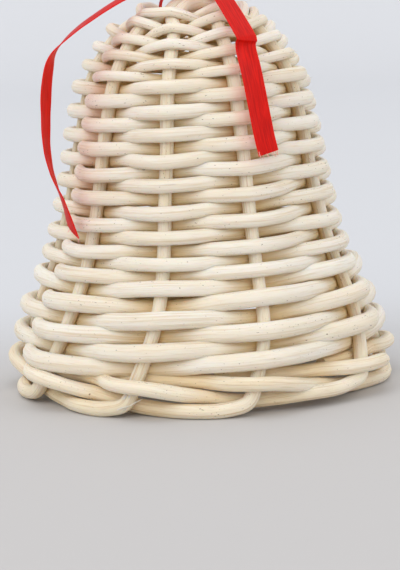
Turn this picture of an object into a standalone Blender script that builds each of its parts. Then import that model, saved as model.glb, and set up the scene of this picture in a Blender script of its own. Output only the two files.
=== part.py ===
"""Bell ornament woven of rattan core, mouth down, with a satin ribbon tied in a bow on its crown.

Four long rods cross at the crown as two pairs and a ninth, shorter one is set in beside them, so nine
stakes run down the wall. A round weaver goes over one stake and under the next in one spiral that gets
thicker towards the foot. At the foot each stake is turned to the left into a plaited border.
Metres, +Z up, origin on the floor under the middle of the bell.
"""

from math import atan2, cos, floor, pi, radians, sin, sqrt, tau

import bmesh
import bpy
import numpy as np
from mathutils import Quaternion, Vector

# Rods and the gap kept between two that touch
STAKE_COUNT = 9
STAKE_DIAMETER = 0.0030
CROWN_WEAVER_DIAMETER = 0.0021
WALL_WEAVER_DIAMETER = 0.0027
FOOT_WEAVER_DIAMETER = 0.0034
CLEARANCE = 0.0003

# Profile that the stakes' centre lines follow: radius, and drop below the crown or height above the floor
CROWN_HEIGHT = 0.0865
CROWN_EDGE_RADIUS = 0.0130
CROWN_EDGE_DROP = 0.0025
SHOULDER_RADIUS = 0.0219
SHOULDER_DROP = 0.0130
UPPER_WALL_RADIUS = 0.0257
UPPER_WALL_DROP = 0.0270
WAIST_RADIUS = 0.0285
WAIST_HEIGHT = 0.0450
FLARE_RADIUS = 0.0319
FLARE_HEIGHT = 0.0315
FOOT_RADIUS = 0.0372
FOOT_HEIGHT = 0.0190
BORDER_RADIUS = 0.0422
BEND_HEIGHT = 0.0030

# Crown, where the rods cross and the weaver starts, as distances from the axis
CROSSING_REACH = 0.0036
NINTH_STAKE_START = 0.0065
WEAVE_START = 0.0093
SPREAD_END = 0.0155
PAIRED_ROW_COUNT = 2

# Where the weaver gets thicker and ends, the gap kept between rows, and the pieces of core it takes
WALL_WEAVE_DROP = 0.0150
FOOT_WEAVE_TOP = 0.0262
FOOT_WEAVE_END = 0.0101
ROW_CLEARANCE = 0.00025
CROWN_PIECE_COUNT = 2
WALL_PIECE_COUNT = 4
FOOT_PIECE_COUNT = 1

# Stakes: where they stand on the wall, how they lean at the foot, and the heights of the border's strands
FIRST_STAKE_ANGLE = radians(96)
STAKE_SHIFT_DEGREES = (-8, -4, 0, 2, -3, 0, 4, 1, -4)
LEAN_START_HEIGHT = 0.0300
LEAN_SHARE = 0.33
FRONT_STRAND_HEIGHT = 0.0068
BACK_STRAND_HEIGHT = 0.0060

# Ribbon
RIBBON_WIDTH = 0.0045
RIBBON_THICKNESS = 0.0005
KNOT_WIDTH = 0.0056
KNOT_DEPTH = 0.0050
KNOT_HEIGHT = 0.0040
BAND_WIDTH = 0.0022
RIGHT_BAND_ANGLE = radians(356)
LEFT_BAND_ANGLE = radians(196)
BAND_REACH = 0.0071
LOOP_LENGTH = 0.0190
LOOP_RISE = 0.0085
LOOP_HEIGHT = 0.0062
BAND_LAYER = 0.0004
TAIL_LAYER = 0.0013
LOWER_LOOP_LAYER = 0.0022
UPPER_LOOP_LAYER = 0.0031
TAIL_REACH = 0.0140
LEFT_TAIL_ANGLE = radians(214)
RIGHT_TAIL_ANGLE = radians(295)
LEFT_TAIL_HANG = (
    (0.0045, 214.4, 0.0170),
    (0.0151, 214.7, 0.0160),
    (0.0248, 215.2, 0.0147),
    (0.0330, 216.3, 0.0132),
    (0.0403, 218.7, 0.0101),
    (0.0485, 220.9, 0.0053),
)
RIGHT_TAIL_HANG = (
    (0.0036, 295.4, 0.0106),
    (0.0090, 295.3, 0.0079),
    (0.0163, 295.6, 0.0074),
    (0.0261, 297.0, 0.0073),
    (0.0315, 298.2, 0.0076),
)

# Sides of the rods' sections, and the points along each stretch of a stake and each span of ribbon
STAKE_SIDES = 6
WEAVER_SIDES = 5
CROWN_POINT_COUNT = 6
WALL_POINT_COUNT = 7
FOOT_POINT_COUNT = 6
RIBBON_STEP_COUNT = 3

SPACING = tau / STAKE_COUNT
STAKE_RADIUS = STAKE_DIAMETER / 2
STAKE_APOTHEM = STAKE_RADIUS * cos(pi / STAKE_SIDES)
LANE_OFFSET = STAKE_RADIUS + CLEARANCE / 2
KNOT_BASE = CROWN_HEIGHT + STAKE_DIAMETER + 1.5 * CLEARANCE


def smooth_curve(points, steps):
    """Centripetal Catmull-Rom curve through the points, with so many steps to each span."""
    points = [np.array(p, float) for p in points]
    first = 2 * points[0] - points[1]
    last = 2 * points[-1] - points[-2]
    chain = [first, *points, last]
    curve = []
    for a, b, c, d in zip(chain, chain[1:], chain[2:], chain[3:]):
        ta = 0.0
        tb = ta + sqrt(np.linalg.norm(b - a))
        tc = tb + sqrt(np.linalg.norm(c - b))
        td = tc + sqrt(np.linalg.norm(d - c))
        for t in np.linspace(tb, tc, steps, endpoint=False):
            ab = (tb - t) / (tb - ta) * a + (t - ta) / (tb - ta) * b
            bc = (tc - t) / (tc - tb) * b + (t - tb) / (tc - tb) * c
            cd = (td - t) / (td - tc) * c + (t - tc) / (td - tc) * d
            abc = (tc - t) / (tc - ta) * ab + (t - ta) / (tc - ta) * bc
            bcd = (td - t) / (td - tb) * bc + (t - tb) / (td - tb) * cd
            curve.append((tc - t) / (tc - tb) * abc + (t - tb) / (tc - tb) * bcd)
    curve.append(points[-1])
    return np.array(curve)


def smooth_step(low, high, value):
    """0 below low, 1 above high and an even curve between."""
    share = min(max((value - low) / (high - low), 0.0), 1.0)
    return share * share * (3 - 2 * share)


PROFILE = smooth_curve(
    [
        (0.0, CROWN_HEIGHT),
        (CROWN_EDGE_RADIUS, CROWN_HEIGHT - CROWN_EDGE_DROP),
        (SHOULDER_RADIUS, CROWN_HEIGHT - SHOULDER_DROP),
        (UPPER_WALL_RADIUS, CROWN_HEIGHT - UPPER_WALL_DROP),
        (WAIST_RADIUS, WAIST_HEIGHT),
        (FLARE_RADIUS, FLARE_HEIGHT),
        (FOOT_RADIUS, FOOT_HEIGHT),
        (BORDER_RADIUS, BEND_HEIGHT),
    ],
    steps=24,
)
PROFILE_LENGTHS = np.concatenate(
    [[0.0], np.cumsum(np.linalg.norm(np.diff(PROFILE, axis=0), axis=1))]
)


def profile_point(length):
    """Radius and height of the profile at a length from the crown's middle."""
    radius = np.interp(length, PROFILE_LENGTHS, PROFILE[:, 0])
    height = np.interp(length, PROFILE_LENGTHS, PROFILE[:, 1])
    return Vector((float(radius), float(height)))


def profile_normal(length):
    """Outward normal of the profile, as its radial and its upward share."""
    step = STAKE_DIAMETER / 8
    along = (profile_point(length + step) - profile_point(length - step)).normalized()
    return Vector((-along.y, along.x))


def length_at_height(height):
    """Length along the profile from the crown's middle to a height on the wall."""
    return float(np.interp(-height, -PROFILE[:, 1], PROFILE_LENGTHS))


def length_at_radius(radius):
    """Length along the profile from the crown's middle to a distance from the axis."""
    return float(np.interp(radius, PROFILE[:, 0], PROFILE_LENGTHS))


def lean(height):
    """How far, in stake spacings, the stakes have turned to the left at a height near the foot."""
    share = max(LEAN_START_HEIGHT - height, 0.0) / LEAN_START_HEIGHT
    return LEAN_SHARE * share * share


def polar(radius, angle, height):
    """Point at a radius and angle about the axis."""
    return Vector((radius * cos(angle), radius * sin(angle), height))


def stake_angle(place):
    """Angle of a stake on the wall, or of a place between two. Stake 0 is the ninth, alone in the crown."""
    stake = floor(place)
    share = place - stake
    here = STAKE_SHIFT_DEGREES[stake % STAKE_COUNT]
    there = STAKE_SHIFT_DEGREES[(stake + 1) % STAKE_COUNT]
    return FIRST_STAKE_ANGLE - place * SPACING + radians(here + share * (there - here))


def arm_of(stake):
    """Angle of the crown's arm that a stake belongs to, and which side of the arm it lies on."""
    if stake == 0:
        return stake_angle(0), 0.0
    first = stake - (stake - 1) % 2
    side = 1.0 if stake == first else -1.0
    return (stake_angle(first) + stake_angle(first + 1)) / 2, side


def stake_place(stake, length):
    """Radius and angle of a stake's centre line at a length along the profile."""
    radius, height = profile_point(length)
    arm, side = arm_of(stake)
    lane_angle = arm + side * atan2(LANE_OFFSET, max(radius, CLEARANCE))
    lane_radius = sqrt(radius * radius + (side * LANE_OFFSET) ** 2)
    spread = smooth_step(WEAVE_START, SPREAD_END, radius)
    wall_angle = stake_angle(stake + lean(height))
    return lane_radius + spread * (radius - lane_radius), lane_angle + spread * (wall_angle - lane_angle)


def stake_layer(stake):
    """1 for a rod of the upper pair in the crossing, -1 for one of the lower pair, 0 for the ninth."""
    if stake == 0:
        return 0
    return 1 if (stake - 1) // 2 % 2 == 0 else -1


def crossing_rise(stake, radius):
    """How far a rod is raised or lowered where the two pairs cross."""
    fade = 1.0 - smooth_step(CROSSING_REACH, WEAVE_START, radius)
    return stake_layer(stake) * LANE_OFFSET * fade


def border_route():
    """Centre line of a stake's border stretch, as spacings to the left, radius and height.

    It lies on the floor, passes behind the next stake's bend, rises over the one after it and ends
    behind the third one, above the strands that were laid before it.
    """
    lying = STAKE_APOTHEM
    over = STAKE_DIAMETER + 1.5 * CLEARANCE
    outside = BORDER_RADIUS
    inside = BORDER_RADIUS - over - CLEARANCE
    front = profile_point(length_at_height(FRONT_STRAND_HEIGHT)).x + over + CLEARANCE
    behind = profile_point(length_at_height(BACK_STRAND_HEIGHT)).x - over
    top = FRONT_STRAND_HEIGHT + CLEARANCE
    rise = FRONT_STRAND_HEIGHT - lying
    swing = front - inside
    return [
        (0.42, outside, lying + CLEARANCE),
        (0.55, outside, lying),
        (0.80, outside - 0.25 * over, lying),
        (1.02, inside + 0.20 * over, lying),
        (1.24, inside, lying + CLEARANCE),
        (1.42, inside, lying + 0.22 * rise),
        (1.60, inside + 0.08 * swing, lying + 0.42 * rise),
        (1.80, inside + 0.48 * swing, lying + 0.66 * rise),
        (1.96, inside + 0.86 * swing, lying + 0.88 * rise),
        (2.10, front, FRONT_STRAND_HEIGHT),
        (2.24, front - CLEARANCE, top),
        (2.42, behind + 0.62 * (front - behind), top),
        (2.60, behind + 0.12 * (front - behind), top + CLEARANCE / 2),
        (2.80, behind, (top + BACK_STRAND_HEIGHT) / 2),
        (3.00, behind, BACK_STRAND_HEIGHT),
        (3.25, behind - CLEARANCE, BACK_STRAND_HEIGHT),
    ]


def stake_centres(stake):
    """Centre line of one stake, from near the crown's middle down the wall and round the border."""
    start = NINTH_STAKE_START if stake == 0 else CROSSING_REACH
    shoulder = length_at_height(CROWN_HEIGHT - SHOULDER_DROP)
    lean_start = length_at_height(LEAN_START_HEIGHT)
    bend = length_at_height(BEND_HEIGHT)
    crown = np.linspace(start, shoulder, CROWN_POINT_COUNT)
    wall = np.linspace(shoulder, lean_start, WALL_POINT_COUNT)[1:]
    foot = np.linspace(lean_start, bend, FOOT_POINT_COUNT)[1:]
    centres = []
    for length in [*crown, *wall, *foot]:
        radius, angle = stake_place(stake, length)
        axial = profile_point(length)
        centres.append(polar(radius, angle, axial.y + crossing_rise(stake, axial.x)))
    for left, radius, height in border_route():
        centres.append(polar(radius, stake_angle(stake + left), height))
    return centres


def directions(centres):
    """Unit vectors from each centre to the next."""
    return [(b - a).normalized() for a, b in zip(centres, centres[1:])]


def tangents_of(ways):
    """Direction of the rod at each centre: the mean of the two stretches that meet there."""
    middle = [(a + b).normalized() for a, b in zip(ways, ways[1:])]
    return [ways[0], *middle, ways[-1]]


def carried_ups(tangents, anchors, up):
    """Up direction at each centre, given at one or two anchors and carried along without other twist."""
    first = anchors[0]
    ups = [None] * len(tangents)
    ups[first] = (up - tangents[first] * up.dot(tangents[first])).normalized()
    for i in range(first + 1, len(tangents)):
        ups[i] = tangents[i - 1].rotation_difference(tangents[i]) @ ups[i - 1]
    for i in range(first - 1, -1, -1):
        ups[i] = tangents[i + 1].rotation_difference(tangents[i]) @ ups[i + 1]
    if len(anchors) == 1:
        return ups
    last = anchors[1]
    sideways = tangents[last].cross(ups[last])
    flat = tau / STAKE_SIDES
    twist = (atan2(up.dot(sideways), up.dot(ups[last])) + flat / 2) % flat - flat / 2
    for i, tangent in enumerate(tangents):
        share = min(max((i - first) / (last - first), 0.0), 1.0)
        ups[i] = Quaternion(tangent, twist * share) @ ups[i]
    return ups


def section_corners(sides, radius, turn=0.0):
    """Corners of a regular section, as upward and sideways offsets."""
    angles = [turn + tau * corner / sides for corner in range(sides)]
    return [(radius * cos(angle), radius * sin(angle)) for angle in angles]


def swept_mesh(name, centres, ups, corners):
    """Closed mesh of a section swept along the centres, mitred where they turn."""
    ways = directions(centres)
    tangents = tangents_of(ways)
    mesh = bmesh.new()
    rings = []
    for i, centre in enumerate(centres):
        tangent = tangents[i]
        side = tangent.cross(ups[i]).normalized()
        up = side.cross(tangent)
        after = ways[min(i, len(ways) - 1)]
        bend = after - tangent * after.dot(tangent)
        stretch = 1.0 / max(tangent.dot(after), 0.5)
        ring = []
        for upward, sideways in corners:
            offset = up * upward + side * sideways
            if bend.length > 1e-6:
                across = bend.normalized()
                offset += across * offset.dot(across) * (stretch - 1.0)
            ring.append(mesh.verts.new(centre + offset))
        rings.append(ring)
    count = len(corners)
    for a, b in zip(rings, rings[1:]):
        for corner in range(count):
            following = (corner + 1) % count
            mesh.faces.new((a[corner], a[following], b[following], b[corner]))
    mesh.faces.new(rings[0][::-1])
    mesh.faces.new(rings[-1])
    bmesh.ops.recalc_face_normals(mesh, faces=mesh.faces)
    data = bpy.data.meshes.new(name)
    mesh.to_mesh(data)
    mesh.free()
    return data


def principled(name, colour, roughness, metallic=0.0):
    """Material with a Principled BSDF."""
    material = bpy.data.materials.new(name)
    material.use_nodes = True
    shader = material.node_tree.nodes["Principled BSDF"]
    shader.inputs["Base Color"].default_value = (*colour, 1.0)
    shader.inputs["Roughness"].default_value = roughness
    shader.inputs["Metallic"].default_value = metallic
    return material


def add_object(name, data, material=None):
    """Object in the scene with its mesh and its own material."""
    if material:
        data.materials.append(material)
    data.shade_smooth()
    data.set_sharp_from_angle(angle=radians(75))
    thing = bpy.data.objects.new(name, data)
    bpy.context.scene.collection.objects.link(thing)
    return thing


def add_stake_rod(name, stakes):
    """One rod of the frame: two stakes joined over the crown, or the ninth stake alone."""
    centres = stake_centres(stakes[0])
    lying = len(border_route()) - 2
    anchors = [len(centres) - lying]
    if len(stakes) == 2:
        other = stake_centres(stakes[1])
        centres = other[::-1] + centres
        anchors = [len(centres) - lying, lying - 1]
    ups = carried_ups(tangents_of(directions(centres)), anchors, Vector((0, 0, 1)))
    corners = section_corners(STAKE_SIDES, STAKE_RADIUS, pi / STAKE_SIDES)
    data = swept_mesh(name, centres, ups, corners)
    return add_object(name, data, principled(name, (0.78, 0.64, 0.45), 0.55))


def crossing_side(crossing):
    """1 where the weaver passes outside the stake of this crossing, -1 where it passes inside."""
    row, stake = divmod(crossing, STAKE_COUNT)
    if row < PAIRED_ROW_COUNT:
        arms = (STAKE_COUNT + 1) // 2
        return 1 if (row * arms + (stake + 1) // 2) % 2 == 0 else -1
    return 1 if crossing % 2 == 0 else -1


def crossing_offset(reach, half_gap, drop):
    """Offset of a weaver at a stake, so that its straight run to mid-gap clears the stake.

    reach is the least distance between their centre lines, half_gap is the distance along the wall to
    mid-gap, and drop is how far the wall has curved away there, negative on the inner side.
    """
    left = half_gap**2 - reach**2
    root = sqrt(drop**2 * reach**4 + left * reach**2 * (drop**2 + half_gap**2))
    return (drop * reach**2 + root) / left


def turn_to_stake(stake, length, angle):
    """Signed angle from one angle to a stake's place at a length along the profile."""
    return (stake_place(stake % STAKE_COUNT, length)[1] - angle + pi) % tau - pi


def weave_point(length, angle, offset):
    """Point on the wall at a length and angle, moved outward by the offset."""
    point = profile_point(length) + offset * profile_normal(length)
    return polar(point.x, angle, point.y)


def wall_up(length, angle):
    """Direction up the wall along the profile."""
    normal = profile_normal(length)
    return Vector((-normal.y * cos(angle), -normal.y * sin(angle), normal.x))


def stake_crossing_offset(crossing, length, angle, radius, reach):
    """Outward offset of the weaver where it crosses a stake."""
    side = crossing_side(crossing)
    turns = [
        abs(turn_to_stake(crossing + step, length, angle))
        for step in (-1, 1)
        if crossing_side(crossing + step) != side
    ]
    half_turn = min(turns, default=SPACING) / 2
    drop = side * radius * (1 - cos(half_turn)) * max(profile_normal(length).x, 0.0)
    return side * crossing_offset(reach, radius * sin(half_turn), drop)


def weaver_route(first_crossing, crossings, start, pitch, weaver_radius):
    """Centres and up directions of one length of weaver: at each stake and in each gap it changes side."""
    reach = STAKE_RADIUS + weaver_radius * sin(2 * pi / WEAVER_SIDES) + CLEARANCE
    centres, ups = [], []
    for step in range(crossings):
        crossing = first_crossing + step
        length = start + pitch * step / STAKE_COUNT
        radius, angle = stake_place(crossing % STAKE_COUNT, length)
        offset = stake_crossing_offset(crossing, length, angle, radius, reach)
        centres.append(weave_point(length, angle, offset))
        ups.append(wall_up(length, angle))
        changes = crossing_side(crossing + 1) != crossing_side(crossing)
        if changes and step + 1 < crossings:
            middle = length + pitch / STAKE_COUNT / 2
            gap_angle = angle + turn_to_stake(crossing + 1, middle, angle) / 2
            centres.append(weave_point(middle, gap_angle, 0.0))
            ups.append(wall_up(middle, gap_angle))
    return centres, ups


def add_weave_stretch(name, diameter, start, end, pieces, first_crossing):
    """A stretch of the spiral in one thickness of core, and the crossing that comes after it."""
    weaver_radius = diameter / 2
    least_pitch = weaver_radius * (1 + cos(pi / WEAVER_SIDES)) + ROW_CLEARANCE
    rows = int((end - start) / least_pitch)
    pitch = (end - start) / rows
    corners = section_corners(WEAVER_SIDES, weaver_radius)
    row = 0
    for piece in range(pieces):
        next_row = rows * (piece + 1) // pieces
        crossings = (next_row - row) * STAKE_COUNT
        centres, ups = weaver_route(
            first_crossing + row * STAKE_COUNT, crossings, start + row * pitch, pitch, weaver_radius
        )
        title = name if pieces == 1 else f"{name}_{piece + 1}"
        data = swept_mesh(title, centres, ups, corners)
        add_object(title, data, principled(title, (0.82, 0.69, 0.50), 0.5))
        row = next_row
    return first_crossing + rows * STAKE_COUNT


def add_weave():
    """The whole spiral, from the crown to the foot."""
    crown_start = length_at_radius(WEAVE_START)
    crown_end = length_at_height(CROWN_HEIGHT - WALL_WEAVE_DROP)
    wall_start = crown_end + (WALL_WEAVER_DIAMETER - CROWN_WEAVER_DIAMETER) / 2
    wall_end = length_at_height(FOOT_WEAVE_TOP)
    foot_start = wall_end + (FOOT_WEAVER_DIAMETER - WALL_WEAVER_DIAMETER) / 2
    foot_end = length_at_height(FOOT_WEAVE_END)
    stretches = [
        ("weaver_crown", CROWN_WEAVER_DIAMETER, crown_start, crown_end, CROWN_PIECE_COUNT),
        ("weaver_wall", WALL_WEAVER_DIAMETER, wall_start, wall_end, WALL_PIECE_COUNT),
        ("weaver_foot", FOOT_WEAVER_DIAMETER, foot_start, foot_end, FOOT_PIECE_COUNT),
    ]
    crossing = 0
    for stretch in stretches:
        crossing = add_weave_stretch(*stretch, crossing)


def ribbon_strip(name, points, acrosses, width):
    """Flat strip of ribbon along a smooth curve, with the direction of its width at each point."""
    knots = [(*point, *across) for point, across in zip(points, acrosses)]
    route = smooth_curve(knots, RIBBON_STEP_COUNT)
    centres = [Vector(row[:3]) for row in route]
    tangents = tangents_of(directions(centres))
    ups = [Vector(row[3:]).cross(tangent) for row, tangent in zip(route, tangents)]
    thick, wide = RIBBON_THICKNESS / 2, width / 2
    corners = [(thick, wide), (thick, -wide), (-thick, -wide), (-thick, wide)]
    return add_object(name, swept_mesh(name, centres, ups, corners))


def loop_strip(name, side):
    """One loop of the bow, out to its side and back into the knot."""
    base = KNOT_BASE + LOWER_LOOP_LAYER
    points = [
        (0.30 * KNOT_WIDTH, base),
        (0.35 * LOOP_LENGTH, base + 0.10 * LOOP_RISE),
        (0.72 * LOOP_LENGTH, base + 0.35 * LOOP_RISE),
        (0.97 * LOOP_LENGTH, base + 0.80 * LOOP_RISE),
        (0.95 * LOOP_LENGTH, base + LOOP_RISE + 0.35 * LOOP_HEIGHT),
        (0.72 * LOOP_LENGTH, base + LOOP_RISE + 0.25 * LOOP_HEIGHT),
        (0.35 * LOOP_LENGTH, base + 0.62 * LOOP_RISE),
        (0.30 * KNOT_WIDTH, KNOT_BASE + UPPER_LOOP_LAYER),
    ]
    places = [(side * x, 0.0, z) for x, z in points]
    return ribbon_strip(name, places, [(0.0, 1.0, 0.0)] * len(places), RIBBON_WIDTH)


def band_strip():
    """The ribbon's turn under the crossing rods, between their arms, with both ends in the knot."""
    bottom = CROWN_HEIGHT - STAKE_DIAMETER - 2 * CLEARANCE - RIBBON_THICKNESS
    half = [
        (0.30 * KNOT_WIDTH, KNOT_BASE + BAND_LAYER),
        (0.78 * BAND_REACH, KNOT_BASE + BAND_LAYER),
        (BAND_REACH, KNOT_BASE - STAKE_DIAMETER / 2),
        (BAND_REACH, bottom + STAKE_DIAMETER),
        (0.75 * BAND_REACH, bottom + 0.15 * STAKE_DIAMETER),
        (0.25 * BAND_REACH, bottom),
    ]
    points = [polar(reach, RIGHT_BAND_ANGLE, z) for reach, z in half]
    points += [polar(reach, LEFT_BAND_ANGLE, z) for reach, z in half[::-1]]
    across = Vector((0, 0, 1)).cross(points[0] - points[-1]).normalized()
    return ribbon_strip("band_strip", points, [across] * len(points), BAND_WIDTH)


def tail_strip(name, angle, hang):
    """One tail of the bow: level out of the knot at an angle, then down beside the wall.

    Each place where it hangs is a drop below the crown, an angle and a distance outside the stakes.
    """
    layer = KNOT_BASE + TAIL_LAYER
    points = [
        polar(0.3 * KNOT_WIDTH, angle, layer),
        polar(TAIL_REACH, angle, layer),
    ]
    for drop, degrees, distance in hang:
        height = CROWN_HEIGHT - drop
        wall = profile_point(length_at_height(height)).x
        points.append(polar(wall + distance, radians(degrees), height))
    acrosses = []
    for x, y, _ in points:
        around = atan2(y, x) + pi / 2
        acrosses.append((cos(around), sin(around), 0.0))
    return ribbon_strip(name, points, acrosses, RIBBON_WIDTH)


def add_ribbon():
    """The ribbon in one piece: knot, two loops, the turn under the rods and two tails."""
    name = "ribbon_bow"
    mesh = bmesh.new()
    bmesh.ops.create_cube(mesh, size=1.0)
    bmesh.ops.scale(mesh, vec=(KNOT_WIDTH, KNOT_DEPTH, KNOT_HEIGHT), verts=mesh.verts)
    bmesh.ops.translate(mesh, vec=(0, 0, KNOT_BASE + KNOT_HEIGHT / 2), verts=mesh.verts)
    bmesh.ops.bevel(
        mesh, geom=mesh.edges, offset=0.25 * KNOT_HEIGHT, segments=1, profile=0.5, affect="EDGES"
    )
    data = bpy.data.meshes.new(name)
    mesh.to_mesh(data)
    mesh.free()
    bow = add_object(name, data, principled(name, (0.72, 0.03, 0.02), 0.35))
    strips = [
        loop_strip("left_loop", -1),
        loop_strip("right_loop", 1),
        band_strip(),
        tail_strip("left_tail", LEFT_TAIL_ANGLE, LEFT_TAIL_HANG),
        tail_strip("right_tail", RIGHT_TAIL_ANGLE, RIGHT_TAIL_HANG),
    ]
    for strip in strips:
        strip.hide_render = True
        strip.display_type = "WIRE"
        union = bow.modifiers.new(strip.name, "BOOLEAN")
        union.operation = "UNION"
        union.object = strip
    return bow


def clear_scene():
    """Removes every object that is in the scene."""
    for thing in list(bpy.data.objects):
        bpy.data.objects.remove(thing)


def main():
    """Builds the bell."""
    clear_scene()
    add_stake_rod("stake_rod_ninth", [0])
    add_stake_rod("stake_rod_upper_left", [1, 6])
    add_stake_rod("stake_rod_upper_right", [2, 5])
    add_stake_rod("stake_rod_lower_front", [3, 8])
    add_stake_rod("stake_rod_lower_back", [4, 7])
    add_weave()
    add_ribbon()


main()
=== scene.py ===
"""Looks of a rattan bell ornament that stands mouth down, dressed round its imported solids.

The bell's own rules are worked out again here, in metres: nine stakes on one profile, a weaver that goes
over one stake and under the next down a single spiral, a plaited border, and a red satin ribbon tied on
the crown. Each piece replaces the solids that it stands for.
"""

from __future__ import annotations

import logging
import random
from collections.abc import Sequence
from dataclasses import dataclass, field
from enum import Enum
from math import atan2, cos, floor, hypot, pi, radians, sin, sqrt, tau

import bpy
import numpy as np
from mathutils import Matrix, Vector, noise

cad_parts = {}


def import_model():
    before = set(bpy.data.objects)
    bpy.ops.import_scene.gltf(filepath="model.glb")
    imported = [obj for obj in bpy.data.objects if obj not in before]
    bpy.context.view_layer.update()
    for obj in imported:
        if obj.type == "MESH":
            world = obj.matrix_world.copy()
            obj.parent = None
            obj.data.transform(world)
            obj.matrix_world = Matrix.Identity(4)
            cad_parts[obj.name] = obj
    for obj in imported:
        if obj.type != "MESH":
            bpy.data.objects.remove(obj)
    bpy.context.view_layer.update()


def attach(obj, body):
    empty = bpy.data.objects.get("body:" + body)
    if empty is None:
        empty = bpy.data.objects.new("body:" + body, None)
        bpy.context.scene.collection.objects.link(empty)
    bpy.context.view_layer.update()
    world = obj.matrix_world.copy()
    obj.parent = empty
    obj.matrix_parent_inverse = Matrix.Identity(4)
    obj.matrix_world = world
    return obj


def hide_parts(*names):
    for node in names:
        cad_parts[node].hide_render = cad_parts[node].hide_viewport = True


LOG = logging.getLogger("rattan_bell")
MM = 0.001

# The photograph's height, its scale at the bell's axis, and the longer side of the camera's sensor
PHOTO_HEIGHT_PX = 570
PIXELS_PER_MM = 4.29
SENSOR_MM = 36.0

# Vertices, faces, places on the rod or strip in millimetres, and marks
MeshPart = tuple[np.ndarray, np.ndarray, np.ndarray, np.ndarray]

# Shares of its length at which a loose fibre or thread has its points
SPRIG = (0.0, 0.35, 0.7, 1.0)

ROD_PLACE = "rod_place"
ROD_MARKS = "rod_marks"
STRIP_PLACE = "strip_place"

# Angle between two faces from which their shared edge is shaded as an edge
SHARP_ANGLE = radians(50)


def linear(hex_colour: str) -> tuple[float, float, float, float]:
    """Turns an sRGB hex colour into linear values.

    Args:
        hex_colour: Colour such as "#E8D5AE".

    Returns:
        Linear red, green and blue, and an alpha of 1.
    """
    channels = [int(hex_colour[i : i + 2], 16) / 255 for i in (1, 3, 5)]
    red, green, blue = (c / 12.92 if c <= 0.04045 else ((c + 0.055) / 1.055) ** 2.4 for c in channels)
    return (red, green, blue, 1.0)


def add_node(
    tree: bpy.types.NodeTree,
    kind: str,
    inputs: dict[str | int, object] | None = None,
    **settings: object,
) -> bpy.types.Node:
    """Adds a node with its settings, input values and links.

    Args:
        tree: Node tree that gets the node.
        kind: Blender's type name of the node.
        inputs: Value, or output socket to link, for each input.
        **settings: Properties of the node itself.

    Returns:
        The new node.
    """
    node = tree.nodes.new(kind)
    for name, value in settings.items():
        setattr(node, name, value)
    for key, value in (inputs or {}).items():
        if isinstance(value, bpy.types.NodeSocket):
            tree.links.new(value, node.inputs[key])
        else:
            node.inputs[key].default_value = value
    return node


def new_material(name: str) -> tuple[bpy.types.Material, bpy.types.NodeTree, bpy.types.Node]:
    """Starts a material.

    Args:
        name: Name of the material.

    Returns:
        The material, its node tree and its shader.
    """
    material = bpy.data.materials.new(name)
    material.use_nodes = True
    tree = material.node_tree
    return material, tree, tree.nodes["Principled BSDF"]


def add_object(name: str, data: bpy.types.ID) -> bpy.types.Object:
    """Adds an object to the scene.

    Args:
        name: Name of the object.
        data: Its mesh, light or camera.

    Returns:
        The object.
    """
    thing = bpy.data.objects.new(name, data)
    bpy.context.scene.collection.objects.link(thing)
    return thing


def smooth_curve(points: Sequence[Sequence[float]], steps: int) -> np.ndarray:
    """Centripetal Catmull-Rom curve through the points.

    Args:
        points: Points of any dimension.
        steps: Number of steps to each span.

    Returns:
        Points along the curve, one row each.
    """
    knots = [np.array(p, float) for p in points]
    chain = [2 * knots[0] - knots[1], *knots, 2 * knots[-1] - knots[-2]]
    curve = []
    for a, b, c, d in zip(chain, chain[1:], chain[2:], chain[3:]):
        ta = 0.0
        tb = ta + sqrt(np.linalg.norm(b - a))
        tc = tb + sqrt(np.linalg.norm(c - b))
        td = tc + sqrt(np.linalg.norm(d - c))
        for t in np.linspace(tb, tc, steps, endpoint=False):
            ab = (tb - t) / (tb - ta) * a + (t - ta) / (tb - ta) * b
            bc = (tc - t) / (tc - tb) * b + (t - tb) / (tc - tb) * c
            cd = (td - t) / (td - tc) * c + (t - tc) / (td - tc) * d
            abc = (tc - t) / (tc - ta) * ab + (t - ta) / (tc - ta) * bc
            bcd = (td - t) / (td - tb) * bc + (t - tb) / (td - tb) * cd
            curve.append((tc - t) / (tc - tb) * abc + (t - tb) / (tc - tb) * bcd)
    curve.append(knots[-1])
    return np.array(curve)


def even_spacing(points: np.ndarray, step: float) -> np.ndarray:
    """Points at an even distance along a polyline.

    Args:
        points: Polyline, one row each, with any further values after the first three.
        step: Wanted distance between points.

    Returns:
        The evenly spaced points, ends included.
    """
    places = np.concatenate([[0.0], np.cumsum(np.linalg.norm(np.diff(points[:, :3], axis=0), axis=1))])
    count = max(int(places[-1] / step), 4)
    wanted = np.linspace(0.0, places[-1], count + 1)
    return np.stack([np.interp(wanted, places, points[:, axis]) for axis in range(points.shape[1])], axis=1)


def smooth_step(low: float, high: float, value: float) -> float:
    """0 below low, 1 above high and an even curve between."""
    share = min(max((value - low) / (high - low), 0.0), 1.0)
    return share * share * (3 - 2 * share)


def drift(place: float, seed: float) -> float:
    """Smooth noise between about -1 and 1 along one number, the same on each run."""
    return 2.0 * noise.noise(Vector((place, seed * 7.31, seed * 1.93)))


def polar(radius: float, angle: float, height: float) -> Vector:
    """Point at a radius and angle about the bell's axis."""
    return Vector((radius * cos(angle), radius * sin(angle), height))


class Side(Enum):
    """Side of the wall on which a weaver passes a stake."""

    OUTSIDE = 1
    INSIDE = -1


class Slot(Enum):
    """Material slots of the part's record."""

    STAKE = "stake_rattan"
    WEAVER = "weaver_rattan"
    RIBBON = "ribbon_satin"


@dataclass(frozen=True)
class Grain:
    """Noise that is drawn out along a strand.

    Args:
        across: Cycles to a millimetre across the strand.
        along: Cycles to a millimetre along it.
        detail: Finer octaves on top.
    """

    across: float
    along: float
    detail: float


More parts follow.
